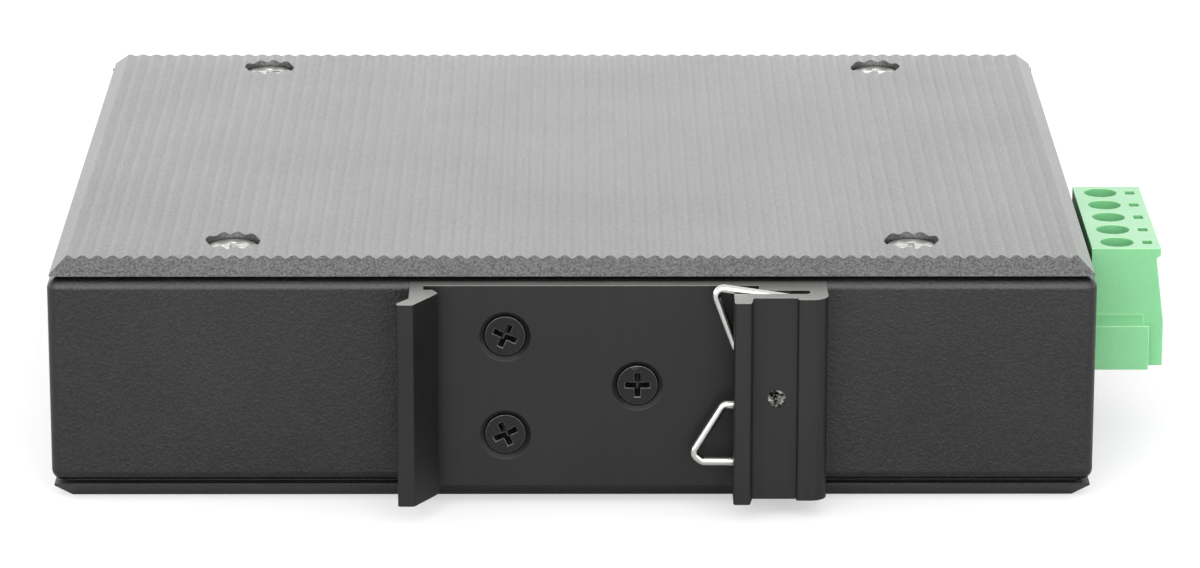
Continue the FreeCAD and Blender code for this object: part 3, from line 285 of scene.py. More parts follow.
def dress(obj: bpy.types.Object, edge: float, body: str, slot: str, material: bpy.types.Material,
          *nodes: str) -> bpy.types.Object:
    """Finish a shaped copy of a CAD node: edges broken, shading smoothed, then settled.

    Args:
        obj: Shaped piece.
        edge: Width of its broken edges in millimetres, or 0 for none.
        body: CAD body that carries it.
        slot: Material slot of the record.
        material: Blender material.
        nodes: CAD nodes that it replaces.

    Returns:
        The same piece.
    """
    if edge > 0:
        soften(obj, edge)
    smooth(obj)
    return settle(obj, body, slot, material, *nodes)


def five(stem: str) -> list[str]:
    """Names of the five nodes of one kind."""
    return ["%s_%d" % (stem, index) for index in range(1, 6)]


# -------------------------------------------------------------------------------- finishes
def linear(colour: str) -> tuple[float, float, float, float]:
    """Linear colour of an sRGB hex value.

    Args:
        colour: Such as "#6e6c6a".

    Returns:
        Red, green, blue and alpha.
    """
    parts = [int(colour[i:i + 2], 16) / 255 for i in (1, 3, 5)]
    values = [p / 12.92 if p <= 0.04045 else ((p + 0.055) / 1.055) ** 2.4 for p in parts]
    return (values[0], values[1], values[2], 1.0)


def add_node(tree: bpy.types.NodeTree, kind: str, inputs: Optional[dict] = None,
             **settings: object) -> bpy.types.Node:
    """Add a node with its settings and links.

    Args:
        tree: Node tree to add to.
        kind: Blender's name of the node type.
        inputs: Socket name or number to a value, or to an output socket to link.
        settings: Properties of the node.

    Returns:
        The new node.
    """
    node = tree.nodes.new(kind)
    for key, value in settings.items():
        setattr(node, key, value)
    for key, value in (inputs or {}).items():
        if isinstance(value, bpy.types.NodeSocket):
            tree.links.new(value, node.inputs[key])
        else:
            node.inputs[key].default_value = value
    return node


class Grain(Enum):
    """How a surface was made, which decides the form of its fine relief."""

    POWDER = "fine and even all round, from etching, plating or powder"
    DRAWN_Z = "long streaks along Z, from drawing through a die"
    MOULDED = "fine and even all round, from the wall of a mould"


STREAK = 60  # length of a drawn streak, in grains
GRAIN_NOISE = {"Scale": 1.0, "Detail": 3.0, "Roughness": 0.6}
BLOTCH_NOISE = {"Scale": 60.0, "Detail": 4.0}  # per metre: blotches of handling about 17 mm across
BLOTCH_SPAN = (0.3, 0.7)  # values of that noise over which the roughness drifts
COAT_ROUGHNESS = 0.2
SOFT_REACH = 1.0 * MM  # how far light travels under the skin of a soft plastic


@dataclass(frozen=True)
class Finish:
    """One surface finish: its colour, shine and fine relief.

    Attributes:
        title: Name of the material.
        colour: sRGB hex value of the plain surface.
        shade: sRGB hex value that the colour drifts to in its mottling.
        metallic: 0 for a dielectric, 1 for bare metal.
        roughness: Roughness of the plain surface.
        grain: Form of the fine relief.
        grain_size: Size of one grain in millimetres.
        relief: Depth of the relief in millimetres.
        uneven: How far the roughness drifts.
        coat: Weight of a clear coat.
        soft: Weight of subsurface scattering.
        index: Index of refraction, for what isn't metal.
        speck: Half the spread of the grain over which the colour goes from one shade to the other.
    """

    title: str
    colour: str
    shade: str
    metallic: float = 0.0
    roughness: float = 0.5
    grain: Grain = Grain.POWDER
    grain_size: float = 0.4
    relief: float = 0.01
    uneven: float = 0.05
    coat: float = 0.0
    soft: float = 0.0
    index: float = 1.5
    speck: float = 0.3

    def stretch(self) -> tuple[float, float, float]:
        """Scale of the grain along each axis.

        Returns:
            Grains per metre along X, Y and Z, far fewer along Z on a drawn surface.
        """
        fine = 1.0 / (self.grain_size * MM)
        return (fine, fine, fine / STREAK if self.grain is Grain.DRAWN_Z else fine)

    def build(self) -> bpy.types.Material:
        """Make the material: colour and relief from its grain, roughness from wide blotches.

        Returns:
            The new material.
        """
        material = bpy.data.materials.new(self.title)
        material.use_nodes = True
        tree = material.node_tree
        tree.nodes.clear()
        place = add_node(tree, "ShaderNodeTexCoord").outputs["Object"]
        grain_at = add_node(tree, "ShaderNodeMapping", {"Vector": place, "Scale": self.stretch()})
        grain = add_node(tree, "ShaderNodeTexNoise", {"Vector": grain_at.outputs[0], **GRAIN_NOISE})
        blotches = add_node(tree, "ShaderNodeTexNoise", {"Vector": place, **BLOTCH_NOISE})
        specks = add_node(tree, "ShaderNodeMapRange",
                          {"Value": grain.outputs["Fac"], "From Min": 0.5 - self.speck,
                           "From Max": 0.5 + self.speck, "To Min": 0.0, "To Max": 1.0})
        blend = add_node(tree, "ShaderNodeMix",
                         {"Factor": specks.outputs[0], 6: linear(self.colour), 7: linear(self.shade)},
                         data_type="RGBA")
        rough = add_node(tree, "ShaderNodeMapRange",
                         {"Value": blotches.outputs["Fac"], "From Min": BLOTCH_SPAN[0],
                          "From Max": BLOTCH_SPAN[1], "To Min": self.roughness - self.uneven,
                          "To Max": self.roughness + self.uneven})
        bump = add_node(tree, "ShaderNodeBump",
                        {"Height": grain.outputs["Fac"], "Distance": self.relief * MM, "Strength": 1.0})
        shader = add_node(tree, "ShaderNodeBsdfPrincipled",
                          {"Base Color": blend.outputs[2], "Metallic": self.metallic,
                           "Roughness": rough.outputs[0], "Coat Weight": self.coat,
                           "Coat Roughness": COAT_ROUGHNESS, "Subsurface Weight": self.soft,
                           "Normal": bump.outputs[0]})
        if not self.metallic:
            shader.inputs["IOR"].default_value = self.index
        if self.soft:
            shader.inputs["Subsurface Radius"].default_value = (SOFT_REACH, SOFT_REACH, SOFT_REACH)
            shader.inputs["Subsurface Scale"].default_value = 1.0
        add_node(tree, "ShaderNodeOutputMaterial", {"Surface": shader.outputs[0]})
        return material


# The real grain of these surfaces is mostly a few hundredths of a millimetre, too fine to show from
# where the object is seen. Each grain is drawn as coarse as it needs to be to show, and each comment
# says what its grain stands for.

# Extruded aluminium, etched matt and anodised black. The dyed oxide skin has metal right under it,
# which gives a dark grey with a wide, strong sheen at a low angle, hence the high index. The etch is
# about 0.05 mm, drawn at 0.22 mm.
COVER_ALUMINIUM = Finish("black_anodised_cover", "#525252", "#020202", roughness=0.34, uneven=0.015,
                         grain_size=0.22, relief=0.05, index=1.95, speck=0.1)
# The same skin on the plain lower cover, drawn darker, nearly black, with a duller sheen: painted shade
# for the shade that falls on the cover facing the floor.
SHADED_BASE_ALUMINIUM = Finish("black_anodised_base_painted_shade", "#1e1e1e", "#050505", roughness=0.4,
                        grain_size=0.26, relief=0.03, index=1.5, speck=0.12)
# Folded sheet steel with a fine-textured black polyester powder coat: small bumps that break up the
# light into specks. Real bumps are about 0.15 mm, drawn at 0.32 mm.
CASE_POWDER = Finish("black_powder_coat", "#171717", "#060606", roughness=0.33,
                     grain_size=0.32, relief=0.05, index=1.5, speck=0.14)
# Extruded aluminium anodised black without an etch: satin, with faint die lines along its length.
# Die lines are about 0.05 mm apart, drawn 0.3 mm apart. Its skin shines less than the covers'.
CLIP_ALUMINIUM = Finish("black_anodised_clip", "#171717", "#0b0b0b", roughness=0.4,
                        grain=Grain.DRAWN_Z, grain_size=0.3, relief=0.006, index=1.41, speck=0.4)
# Bare aluminium where the extrusion was sawn off after anodising: pale and matt from the saw's
# marks, about 0.1 mm apart, drawn at 0.3 mm.
CUT_ALUMINIUM = Finish("cut_aluminium", "#9c9b98", "#7e7d7a", metallic=1.0, roughness=0.42,
                       grain_size=0.3, relief=0.006)
# Aluminium bared and torn by a staking punch: bright specks in a dark dent, about 0.2 mm across,
# drawn at 0.45 mm.
STAKED_METAL = Finish("staked_metal", "#8f8e8b", "#0c0c0c", metallic=1.0, roughness=0.4,
                      grain_size=0.45, relief=0.2, speck=0.08)
# Nickel-plated steel: a slightly warm white metal, fairly bright. Plating pits, drawn at 0.5 mm.
COVER_SCREW = Finish("nickel_screw", "#c9c8c4", "#b1b0ac", metallic=1.0, roughness=0.3,
                     grain_size=0.5, relief=0.002)
# Steel with an oiled black oxide: black, with a thin, low shine. Oxide crystals, drawn at 0.3 mm.
BLACK_SCREW = Finish("black_oxide_screw", "#161616", "#0c0c0c", roughness=0.3,
                     grain_size=0.3, relief=0.03, index=1.36)
# The same steel on the broken rim of each head, drawn as mid grey metal mottled darker: a painted
# highlight for the ring of light on the rim.
RIM_HIGHLIGHT = Finish("screw_rim_painted_highlight", "#6a6a68", "#3a3a39", metallic=1.0, roughness=0.35,
                   grain_size=0.3, relief=0.01)
# Hard-drawn spring steel wire, polished: bright, with a sharp line of light along it. The drawing
# marks are too shallow to show, and only a faint unevenness is left, drawn at 0.6 mm.
SPRING_STEEL = Finish("bright_spring_wire", "#e6e4e0", "#d2d0cc", metallic=1.0, roughness=0.2,
                      grain_size=0.6, relief=0.002)
# Moulded green polyamide, flame retardant: opaque and satin, with light softened just under its
# skin. The mould's spark-eroded wall leaves pits of about 0.03 mm, drawn at 0.5 mm.
POLYAMIDE = Finish("green_polyamide", "#72b580", "#6dae7a", roughness=0.32, grain=Grain.MOULDED,
                   grain_size=0.5, relief=0.004, soft=0.3, index=1.65)
# The same plastic, paler, on the rounded edges that face up, out and to the rail: a painted highlight
# along them.
POLYAMIDE_HIGHLIGHT = Finish("green_polyamide_painted_highlight", "#a9d3a4", "#a0cc9c", roughness=0.32,
                        grain=Grain.MOULDED, grain_size=0.5, relief=0.004, soft=0.3, index=1.65)
# Green solder mask over copper tracks on glass epoxy: half gloss, with wide, low waves of 1.2 mm.
BOARD_MASK = Finish("green_solder_mask", "#1d5b33", "#17502c", roughness=0.35, coat=0.3,
                    grain_size=1.2, relief=0.004)
# Zinc-plated steel: light, slightly cold grey, satin. Plating grain, drawn at 0.5 mm.
ZINC = Finish("zinc_plate", "#b4b5b3", "#9fa19e", metallic=1.0, roughness=0.35,
              grain_size=0.5, relief=0.003)
# Tin-plated copper alloy: whitish and softly bright. Plating grain, drawn at 0.5 mm.
TIN = Finish("tin_plate", "#c6c6c2", "#b3b3af", metallic=1.0, roughness=0.3,
             grain_size=0.5, relief=0.002)
# Gold-plated phosphor bronze: yellow and bright. Plating grain, drawn at 0.4 mm.
GOLD = Finish("gold_plate", "#d8b25c", "#c39b45", metallic=1.0, roughness=0.25,
              grain_size=0.4, relief=0.001)
# Transfer-moulded epoxy of a chip: matt, nearly black. Mould pits, drawn at 0.3 mm.
EPOXY = Finish("moulded_epoxy", "#1d1d1e", "#161617", roughness=0.6, grain=Grain.MOULDED,
               grain_size=0.3, relief=0.01)
# Moulded black polyester: dull satin black. Mould pits, drawn at 0.4 mm.
JACK_PLASTIC = Finish("black_polyester", "#1a1a1b", "#131314", roughness=0.5, grain=Grain.MOULDED,
                      grain_size=0.4, relief=0.006)
# Nickel-plated brass sheet, rolled: warm light grey with faint rolling lines, drawn 0.4 mm apart.
SHIELD = Finish("nickel_sheet", "#b9b8b2", "#a8a7a1", metallic=1.0, roughness=0.32,
                grain=Grain.DRAWN_Z, grain_size=0.4, relief=0.002)
# Moulded clear polycarbonate over unlit lights: glossy and milky pale. Mould pits, drawn at 0.6 mm.
LENS = Finish("clear_lens", "#dfe8e0", "#d3ddd5", roughness=0.12, coat=0.5,
              grain=Grain.MOULDED, grain_size=0.6, relief=0.002)


# ---------------------------------------------------------------------------------- pieces
@dataclass
class Covers:
    """Ribbed upper cover and plain lower cover, with their screws. Lengths are millimetres.

    Attributes:
        pitch: Distance between two ribs.
        rib: Height of a rib.
        crest: Above 1, the crests are wider than the valleys.
        first: Place of the first crest past the bevel, in pitches.
        steps: Facets across one rib.
        spare: Ribs drawn past the edges before they are cut, half of them on each side.
        lip: Upright part of the edge.
        bevel: Width of the bevel, seen from above.
        recess: Diameter of a screw recess.
        recess_depth: Its depth.
        recess_sides: Facets round it.
        hole: Diameter of a screw hole.
        hole_depth: Length of the cutter of a hole, half of it outside.
        hole_sides: Facets round it.
        rabbet: Height of the shadow gap under the rim.
        rabbet_width: Its width.
        over: How far a cutter stands out past what it cuts.
        head_radius: Radius of a screw head.
        head_part: What lies this near a head's outer face belongs to the head.
        head_drop: How far a head lies below its place in the frame.
        edge: Width of the broken edges.
        rib_angle: Edges sharper than this stay crisp on the ribbed cover, in degrees.
    """

    pitch: float = 1.64
    rib: float = 0.27
    crest: float = 1.4
    first: float = 0.07
    steps: int = 12
    spare: int = 4
    lip: float = 0.53
    bevel: float = 1.8
    recess: float = 6.0
    recess_depth: float = 1.45
    recess_sides: int = 56
    hole: float = 3.2
    hole_depth: float = 12.0
    hole_sides: int = 32
    rabbet: float = 0.3
    rabbet_width: float = 1.3
    over: float = 1.0
    head_radius: float = 2.65
    head_part: float = 1.2
    head_drop: float = 0.5
    edge: float = 0.06
    rib_angle: float = 28.0

    def rib_height(self, phase: float) -> float:
        """Height of the rib's section above its valley, in metres.

        Args:
            phase: Place across the rib in pitches, 0 on its crest.

        Returns:
            Height in metres.
        """
        return self.rib * MM * (1.0 - (0.5 - 0.5 * math.cos(2.0 * math.pi * phase)) ** self.crest)

    def screw_places(self, node: str) -> list[Vector]:
        """Centres of the four screws of a cover, from the box of their node.

        Args:
            node: Name of the screws' CAD node.

        Returns:
            Four points at the height of the box's middle.
        """
        low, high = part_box(node)
        reach = self.head_radius * MM
        middle = (low.z + high.z) / 2
        return [Vector((x, y, middle)) for x in (low.x + reach, high.x - reach)
                for y in (low.y + reach, high.y - reach)]

    def bevel_edges(self, obj: bpy.types.Object, low: Vector, high: Vector, up: int) -> None:
        """Cut the four bevels off a plate.

        Args:
            obj: Plate to cut.
            low: Lowest corner of the cover's box.
            high: Highest corner of the cover's box.
            up: 1 when the bevels rise towards +Z, -1 when they fall towards -Z.
        """
        rise = (high.z - low.z) - self.lip * MM
        lip_z = (low.z + self.lip * MM) if up > 0 else (high.z - self.lip * MM)
        run = self.bevel * MM
        sides = [(Vector((-1, 0, 0)), low.x), (Vector((1, 0, 0)), high.x),
                 (Vector((0, -1, 0)), low.y), (Vector((0, 1, 0)), high.y)]
        edit(obj)
        for outward, at in sides:
            point = Vector((0, 0, lip_z))
            point[0 if outward.x else 1] = at
            cut_away(point, (outward * rise + Vector((0, 0, up * run))).normalized())
        bpy.ops.object.mode_set(mode="OBJECT")

    def ribbed_plate(self, low: Vector, high: Vector) -> bpy.types.Object:
        """Plate whose upper side carries the ribs.

        Args:
            low: Lowest corner of the cover's box.
            high: Highest corner of the cover's box.

        Returns:
            The plate, still square at its edges.
        """
        ribs = math.floor((high.x - low.x) / (self.pitch * MM)) + self.spare
        width = ribs * self.pitch * MM
        left = low.x + (self.bevel + (self.first - self.spare / 2) * self.pitch) * MM
        base = high.z - self.rib * MM
        deselect_all()
        bpy.ops.mesh.primitive_grid_add(x_subdivisions=ribs * self.steps, y_subdivisions=1, size=1.0,
                                        location=(left + width / 2, (low.y + high.y) / 2, base))
        obj = bpy.context.object
        obj.name = "ribbed_cover"
        obj.scale = (width, high.y - low.y, 1.0)
        fix_place(obj)
        step = self.pitch * MM / self.steps
        edit(obj, "VERT")
        for column in range(self.steps):
            pick(obj, lambda v, c=column: round((v.co.x - left) / step) % self.steps == c, "VERT")
            bpy.ops.transform.translate(value=(0, 0, self.rib_height(column / self.steps)))
        edit(obj, "EDGE")
        pick(obj, lambda e: e.is_boundary, "EDGE")
        bpy.ops.mesh.extrude_region_move(TRANSFORM_OT_translate={"value": (0, 0, low.z - high.z)})
        bpy.ops.transform.resize(value=(1, 1, 0), center_override=(0, 0, low.z))
        bpy.ops.mesh.edge_face_add()
        cut_away(Vector((low.x, 0, 0)), Vector((-1, 0, 0)))
        cut_away(Vector((high.x, 0, 0)), Vector((1, 0, 0)))
        bpy.ops.mesh.select_all(action="SELECT")
        bpy.ops.mesh.normals_make_consistent(inside=False)
        bpy.ops.object.mode_set(mode="OBJECT")
        return obj

    def cut_rabbet(self, obj: bpy.types.Object, low: Vector, high: Vector, up: int) -> None:
        """Cut the shadow gap under the rim of a cover.

        Args:
            obj: Cover to cut.
            low: Lowest corner of the cover's box.
            high: Highest corner of the cover's box.
            up: 1 for the upper cover, -1 for the lower one.
        """
        over, wide, tall = self.over * MM, self.rabbet_width * MM, self.rabbet * MM
        foot = (low.z - over, low.z + tall) if up > 0 else (high.z - tall, high.z + over)
        tools = []
        for x0, x1, y0, y1 in ((low.x - over, low.x + wide, low.y - over, high.y + over),
                               (high.x - wide, high.x + over, low.y - over, high.y + over),
                               (low.x - over, high.x + over, low.y - over, low.y + wide),
                               (low.x - over, high.x + over, high.y - wide, high.y + over)):
            tools.append(add_block("rabbet", Vector((x0, y0, foot[0])), Vector((x1, y1, foot[1]))))
        carve(obj, tools)

    def cut_recesses(self, obj: bpy.types.Object, places: Sequence[Vector], face_z: float) -> None:
        """Cut the screw recesses and their holes.

        Args:
            obj: Cover to cut.
            places: Centres of the screws.
            face_z: Height of the cover's outer face.
        """
        tools = []
        for place in places:
            at = Vector((place.x, place.y, face_z))
            tools.append(add_disc("recess", at, self.recess * MM / 2, 2 * (self.recess_depth * MM),
                                  self.recess_sides))
            tools.append(add_disc("hole", at, self.hole * MM / 2, self.hole_depth * MM, self.hole_sides))
        carve(obj, tools)

    def sunk_screws(self, node: str, name: str, material: bpy.types.Material, up: int) -> None:
        """Screws of a cover with their heads down in the recesses.

        Args:
            node: Name of the screws' CAD node.
            name: Name of the piece.
            material: Blender material.
            up: 1 for the upper cover, -1 for the lower one.
        """
        low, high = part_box(node)
        obj = copy_node(node, name)
        under_head = (high.z if up > 0 else low.z) - up * self.head_part * MM
        edit(obj, "VERT")
        pick(obj, lambda v: (v.co.z - under_head) * up > 0, "VERT")
        bpy.ops.transform.translate(value=(0, 0, -up * self.head_drop * MM))
        bpy.ops.object.mode_set(mode="OBJECT")
        dress(obj, self.edge, "case", "cover_screw_steel", material, node)

    def build(self) -> None:
        """Model and dress both covers and their screws."""
        low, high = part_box("upper_cover")
        upper = self.ribbed_plate(low, high)
        self.bevel_edges(upper, low, high, 1)
        self.cut_rabbet(upper, low, high, 1)
        self.cut_recesses(upper, self.screw_places("upper_cover_screws"), high.z)
        smooth(upper, self.rib_angle)
        settle(upper, "case", "cover_aluminium", COVER_ALUMINIUM.build(), "upper_cover")
        low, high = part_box("lower_cover")
        lower = add_block("plain_cover", low, high)
        self.bevel_edges(lower, low, high, -1)
        self.cut_rabbet(lower, low, high, -1)
        self.cut_recesses(lower, self.screw_places("lower_cover_screws"), low.z)
        # Darker finish on the lower cover: painted shade.
        dress(lower, self.edge, "case", "cover_aluminium", SHADED_BASE_ALUMINIUM.build(), "lower_cover")
        nickel = COVER_SCREW.build()
        self.sunk_screws("upper_cover_screws", "upper_screws", nickel, 1)
        self.sunk_screws("lower_cover_screws", "lower_screws", nickel, -1)


@dataclass
class SteelCase:
    """Folded steel wrap and the steel front with the port cut-outs, as their nodes give them."""

    def build(self) -> None:
        """Dress both sheets, whose edges are left as they were sheared."""
        powder = CASE_POWDER.build()
        for node, name in (("case_frame", "steel_wrap"), ("front_panel", "steel_front")):
            dress(copy_node(node, name), 0.0, "case", "case_steel", powder, node)


@dataclass
class RailClip:
    """Extruded rail clip with a hook, and a jaw that was staked over the spring wire.

    Attributes:
        edge: Width of the broken edges in millimetres, as all lengths here.
        skin: What lies this near a sawn end belongs to it.
        stake_x: Place of the staked dimple along X, at the middle of the clip along Z.
        stake_radius: What lies this near its centre belongs to it.
        stake_level: Faces of the dimple lie below this along Y.
        stake_facing: Their normals point rearwards by more than this.
        stake_area: They are smaller than this, in square millimetres.
    """

    edge: float = 0.1
    skin: float = 0.02
    stake_x: float = 20.7
    stake_radius: float = 0.8
    stake_level: float = -4.0
    stake_facing: float = 0.5
    stake_area: float = 4.0

    def staked(self, face: bpy.types.MeshPolygon) -> bool:
        """Whether a face belongs to the staked dimple.

        Args:
            face: Face of the dressed clip.

        Returns:
            True in the dimple.
        """
        return (math.hypot(face.center.x - self.stake_x * MM, face.center.z) < self.stake_radius * MM
                and face.center.y < self.stake_level * MM and face.normal.y < -self.stake_facing
                and face.area < self.stake_area * MM * MM)

    def build(self) -> None:
        """Dress the clip, with bare metal where it was sawn off and where it was staked."""
        clip = dress(copy_node("din_clip", "rail_clip"), self.edge, "case", "clip_aluminium",
                     CLIP_ALUMINIUM.build(), "din_clip")
        clip.data.materials.append(CUT_ALUMINIUM.build())
        clip.data.materials.append(STAKED_METAL.build())
        end = max(abs(corner.co.z) for corner in clip.data.vertices) - self.skin * MM
        for face in clip.data.polygons:
            if abs(face.center.z) > end:
                face.material_index = 1
            elif self.staked(face):
                face.material_index = 2


@dataclass
class SpringWire:
    """Bent spring wire that holds the rail against the hook.

    Attributes:
        wire: Diameter of the wire.
        level: Middle of the wire along Y.
        bend: Bend radius of its middle line.
        sides: Sides of its round section.
        steps: Facets in a right-angled bend.
        edge: Width of the broken edges of its cut ends.
        edge_angle: Edges sharper than this are broken, in degrees.
        route: Corners of its middle line along X and Z, from one end to the other.
    """

    wire: float = 0.95
    level: float = -2.425
    bend: float = 0.8
    sides: int = 20
    steps: int = 12
    edge: float = 0.08
    edge_angle: float = 60.0
    route: tuple[tuple[float, float], ...] = (
        (22.15, 10.7), (13.75, 11.95), (16.35, 5.0), (21.0, 3.025), (22.425, 1.125), (22.125, -1.425),
        (15.05, -1.325), (11.65, -6.9), (12.75, -7.8), (23.35, -7.9))

    def turns(self) -> list[float]:
        """Signed turn at each corner between two straight runs, in radians."""
        ways = [Vector(b) - Vector(a) for a, b in zip(self.route, self.route[1:])]
        return [-a.angle_signed(b) for a, b in zip(ways, ways[1:])]

    def build(self) -> None:
        """Draw the wire out run by run and spin it round each corner."""
        turns = self.turns()
        tangents = [0.0] + [self.bend * math.tan(abs(turn) / 2) for turn in turns] + [0.0]
        start, after = Vector(self.route[0]), Vector(self.route[1])
        way = (after - start).normalized()
        deselect_all()
        bpy.ops.mesh.primitive_circle_add(vertices=self.sides, radius=self.wire * MM / 2,
                                          fill_type="NGON",
                                          location=(start.x * MM, self.level * MM, start.y * MM),
                                          rotation=(0, math.atan2(way.x, way.y), 0))
        obj = bpy.context.object
        obj.name = "spring_wire"
        fix_place(obj)
        bpy.ops.object.mode_set(mode="EDIT")
        bpy.ops.mesh.select_mode(type="FACE")
        bpy.ops.mesh.select_all(action="SELECT")
        for index, (a, b) in enumerate(zip(self.route, self.route[1:])):
            way = (Vector(b) - Vector(a)).normalized()
            run = (Vector(b) - Vector(a)).length - tangents[index] - tangents[index + 1]
            move = (way.x * run * MM, 0, way.y * run * MM)
            bpy.ops.mesh.extrude_region_move(TRANSFORM_OT_translate={"value": move})
            if index < len(turns):
                side = Vector((-way.y, way.x)) * math.copysign(1.0, turns[index])
                middle = Vector(b) - way * tangents[index + 1] + side * self.bend
                steps = max(2, round(self.steps * abs(turns[index]) / (math.pi / 2)))
                bpy.ops.mesh.spin(steps=steps, angle=turns[index], axis=(0, 1, 0),
                                  center=(middle.x * MM, self.level * MM, middle.y * MM))
        bpy.ops.mesh.select_all(action="SELECT")
        bpy.ops.mesh.remove_doubles(threshold=SAME_POINT)
        bpy.ops.mesh.normals_make_consistent(inside=False)
        bpy.ops.object.mode_set(mode="OBJECT")
        soften(obj, self.edge, self.edge_angle)
        smooth(obj)
        settle(obj, "case", "spring_steel", SPRING_STEEL.build(), "clip_spring")


@dataclass
class PowerTerminal:
    """Moulded housings of the green plug and of the header that it sits on.

    Attributes:
        plug_edge: Width of the plug's rounded edges.
        header_edge: Width of the header's rounded edges.
        strip_area: A rounded edge has smaller faces than this, in square millimetres.
        slant: An edge with the painted highlight has a normal that points rearwards, and up or out, by
            more than this.
        end_depth: Edges that face out get the painted highlight only this near the plug's rear end.
    """

    plug_edge: float = 0.18
    header_edge: float = 0.1
    strip_area: float = 3.0
    slant: float = 0.3
    end_depth: float = 0.3

    def paint_edge_highlights(self, plug: bpy.types.Object) -> None:
        """Paint a highlight on the edges that face up, out and to the rail, as paler plastic.

        Args:
            plug: Dressed plug housing.
        """
        # Painted highlight: paler green on the rounded edges that face up, out and to the rail.
        plug.data.materials.append(POLYAMIDE_HIGHLIGHT.build())
        low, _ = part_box("terminal_plug")
        for face in plug.data.polygons:
            at_end = face.center.y < low.y + self.end_depth * MM
            slanted = face.normal.z > self.slant or face.normal.x > self.slant and at_end
            if -face.normal.y > self.slant and slanted and face.area < self.strip_area * MM * MM:
                face.material_index = 1

    def build(self) -> None:
        """Dress both housings."""
        green = POLYAMIDE.build()
        plug = dress(copy_node("terminal_plug", "plug_housing"), self.plug_edge, "plug",
                     "connector_plastic", green, "terminal_plug")
        self.paint_edge_highlights(plug)
        dress(copy_node("terminal_header", "header_housing"), self.header_edge, "case",
              "connector_plastic", green, "terminal_header")


@dataclass
class ClipScrews:
    """Three countersunk screws that hold the rail clip, their heads towards -Y.

    Attributes:
        head_radius: Radius of a head.
        cross_depth: Depth of a cross recess in the frame.
        cross_reach: What lies this near a screw's axis belongs to its cross.
        cross_skin: What lies this near the floor of a cross belongs to the floor.
        cross_facing: The floor's normals point along Y by more than this.
        deeper: How much deeper the floor is drawn.
        tip: How much narrower the floor is drawn, as a driver's tip needs it.
        edge: Width of the broken edges.
        rim_depth: What lies this near the top of a head may belong to its rim with the painted
            highlight.
        rim_facing: The highlighted rim's normals point rearwards by between these two values.
    """

    head_radius: float = 2.2
    cross_depth: float = 0.55
    cross_reach: float = 1.5
    cross_skin: float = 0.02
    cross_facing: float = 0.9
    deeper: float = 0.9
    tip: float = 0.6
    edge: float = 0.07
    rim_depth: float = 0.07
    rim_facing: tuple[float, float] = (0.25, 0.97)

    def deepen_crosses(self, screws: bpy.types.Object) -> None:
        """Draw the floors of the cross recesses deeper and narrower.

        Args:
            screws: Copy of the screws' node.
        """
        low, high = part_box("clip_screws")
        reach = self.head_radius * MM
        floor = low.y + self.cross_depth * MM
        for x, z in ((low.x + reach, low.z + reach), (low.x + reach, high.z - reach),
                     (high.x - reach, (low.z + high.z) / 2)):
            middle = Vector((x, floor, z))
            edit(screws)
            pick(screws, lambda face, middle=middle: self.on_floor(face, middle))
            bpy.ops.transform.translate(value=(0, self.deeper * MM, 0))
            bpy.ops.transform.resize(value=(self.tip, 1.0, self.tip), center_override=middle)
            bpy.ops.object.mode_set(mode="OBJECT")

    def on_floor(self, face: bmesh.types.BMFace, middle: Vector) -> bool:
        """Whether a face is part of the floor of one cross recess.

        Args:
            face: Face of the screws in edit mode.
            middle: Middle of that floor.

        Returns:
            True on the floor.
        """
        away = face.calc_center_median() - middle
        return (abs(away.y) < self.cross_skin * MM and abs(face.normal.y) > self.cross_facing
                and math.hypot(away.x, away.z) < self.cross_reach * MM)

    def paint_rim_highlights(self, screws: bpy.types.Object) -> None:
        """Paint a highlight on the broken rim of each head, as lighter metal.

        Args:
            screws: Dressed screws.
        """
        # Painted highlight: lighter metal on the broken rim of each head.
        screws.data.materials.append(RIM_HIGHLIGHT.build())
        low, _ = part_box("clip_screws")
        for face in screws.data.polygons:
            facing = self.rim_facing[0] < -face.normal.y < self.rim_facing[1]
            if facing and face.center.y < low.y + self.rim_depth * MM:
                face.material_index = 1

    def build(self) -> None:
        """Shape and dress the screws."""
        screws = copy_node("clip_screws", "countersunk_screws")
        self.deepen_crosses(screws)
        dress(screws, self.edge, "case", "clip_screw_steel", BLACK_SCREW.build(), "clip_screws")
        self.paint_rim_highlights(screws)


@dataclass
class InnerPieces:
    """Board, ports, contacts and clamps, whose nodes have their form and only get their finish.

    Attributes:
        singles: Nodes that there is one of, with their finishes.
        fives: Kinds of node that there are five of, with their finishes.
    """

    singles: tuple[tuple[str, Finish], ...] = (
        ("circuit_board", BOARD_MASK), ("board_standoffs", ZINC), ("board_screws", ZINC),
        ("switch_chip", EPOXY), ("power_inductor", EPOXY), ("crystal", ZINC), ("capacitor", ZINC),
        ("light_holder", JACK_PLASTIC), ("status_lights", LENS))
    fives: tuple[tuple[str, Finish], ...] = (
        ("jack_housing", JACK_PLASTIC), ("jack_shield", SHIELD), ("jack_contacts", GOLD),
        ("header_pin", TIN), ("plug_contact", TIN), ("clamp_cage", ZINC), ("clamp_screw", ZINC))

    def build(self) -> None:
        """Give every inner node its finish."""
        finishes = dict(self.singles)
        finishes.update((node, finish) for stem, finish in self.fives for node in five(stem))
        built = {finish: finish.build() for finish in dict.fromkeys(finishes.values())}
        for node, finish in finishes.items():
            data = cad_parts[node].data
            data.materials.clear()
            data.materials.append(built[finish])
            LOG.info("%s gets %s", node, finish.title)


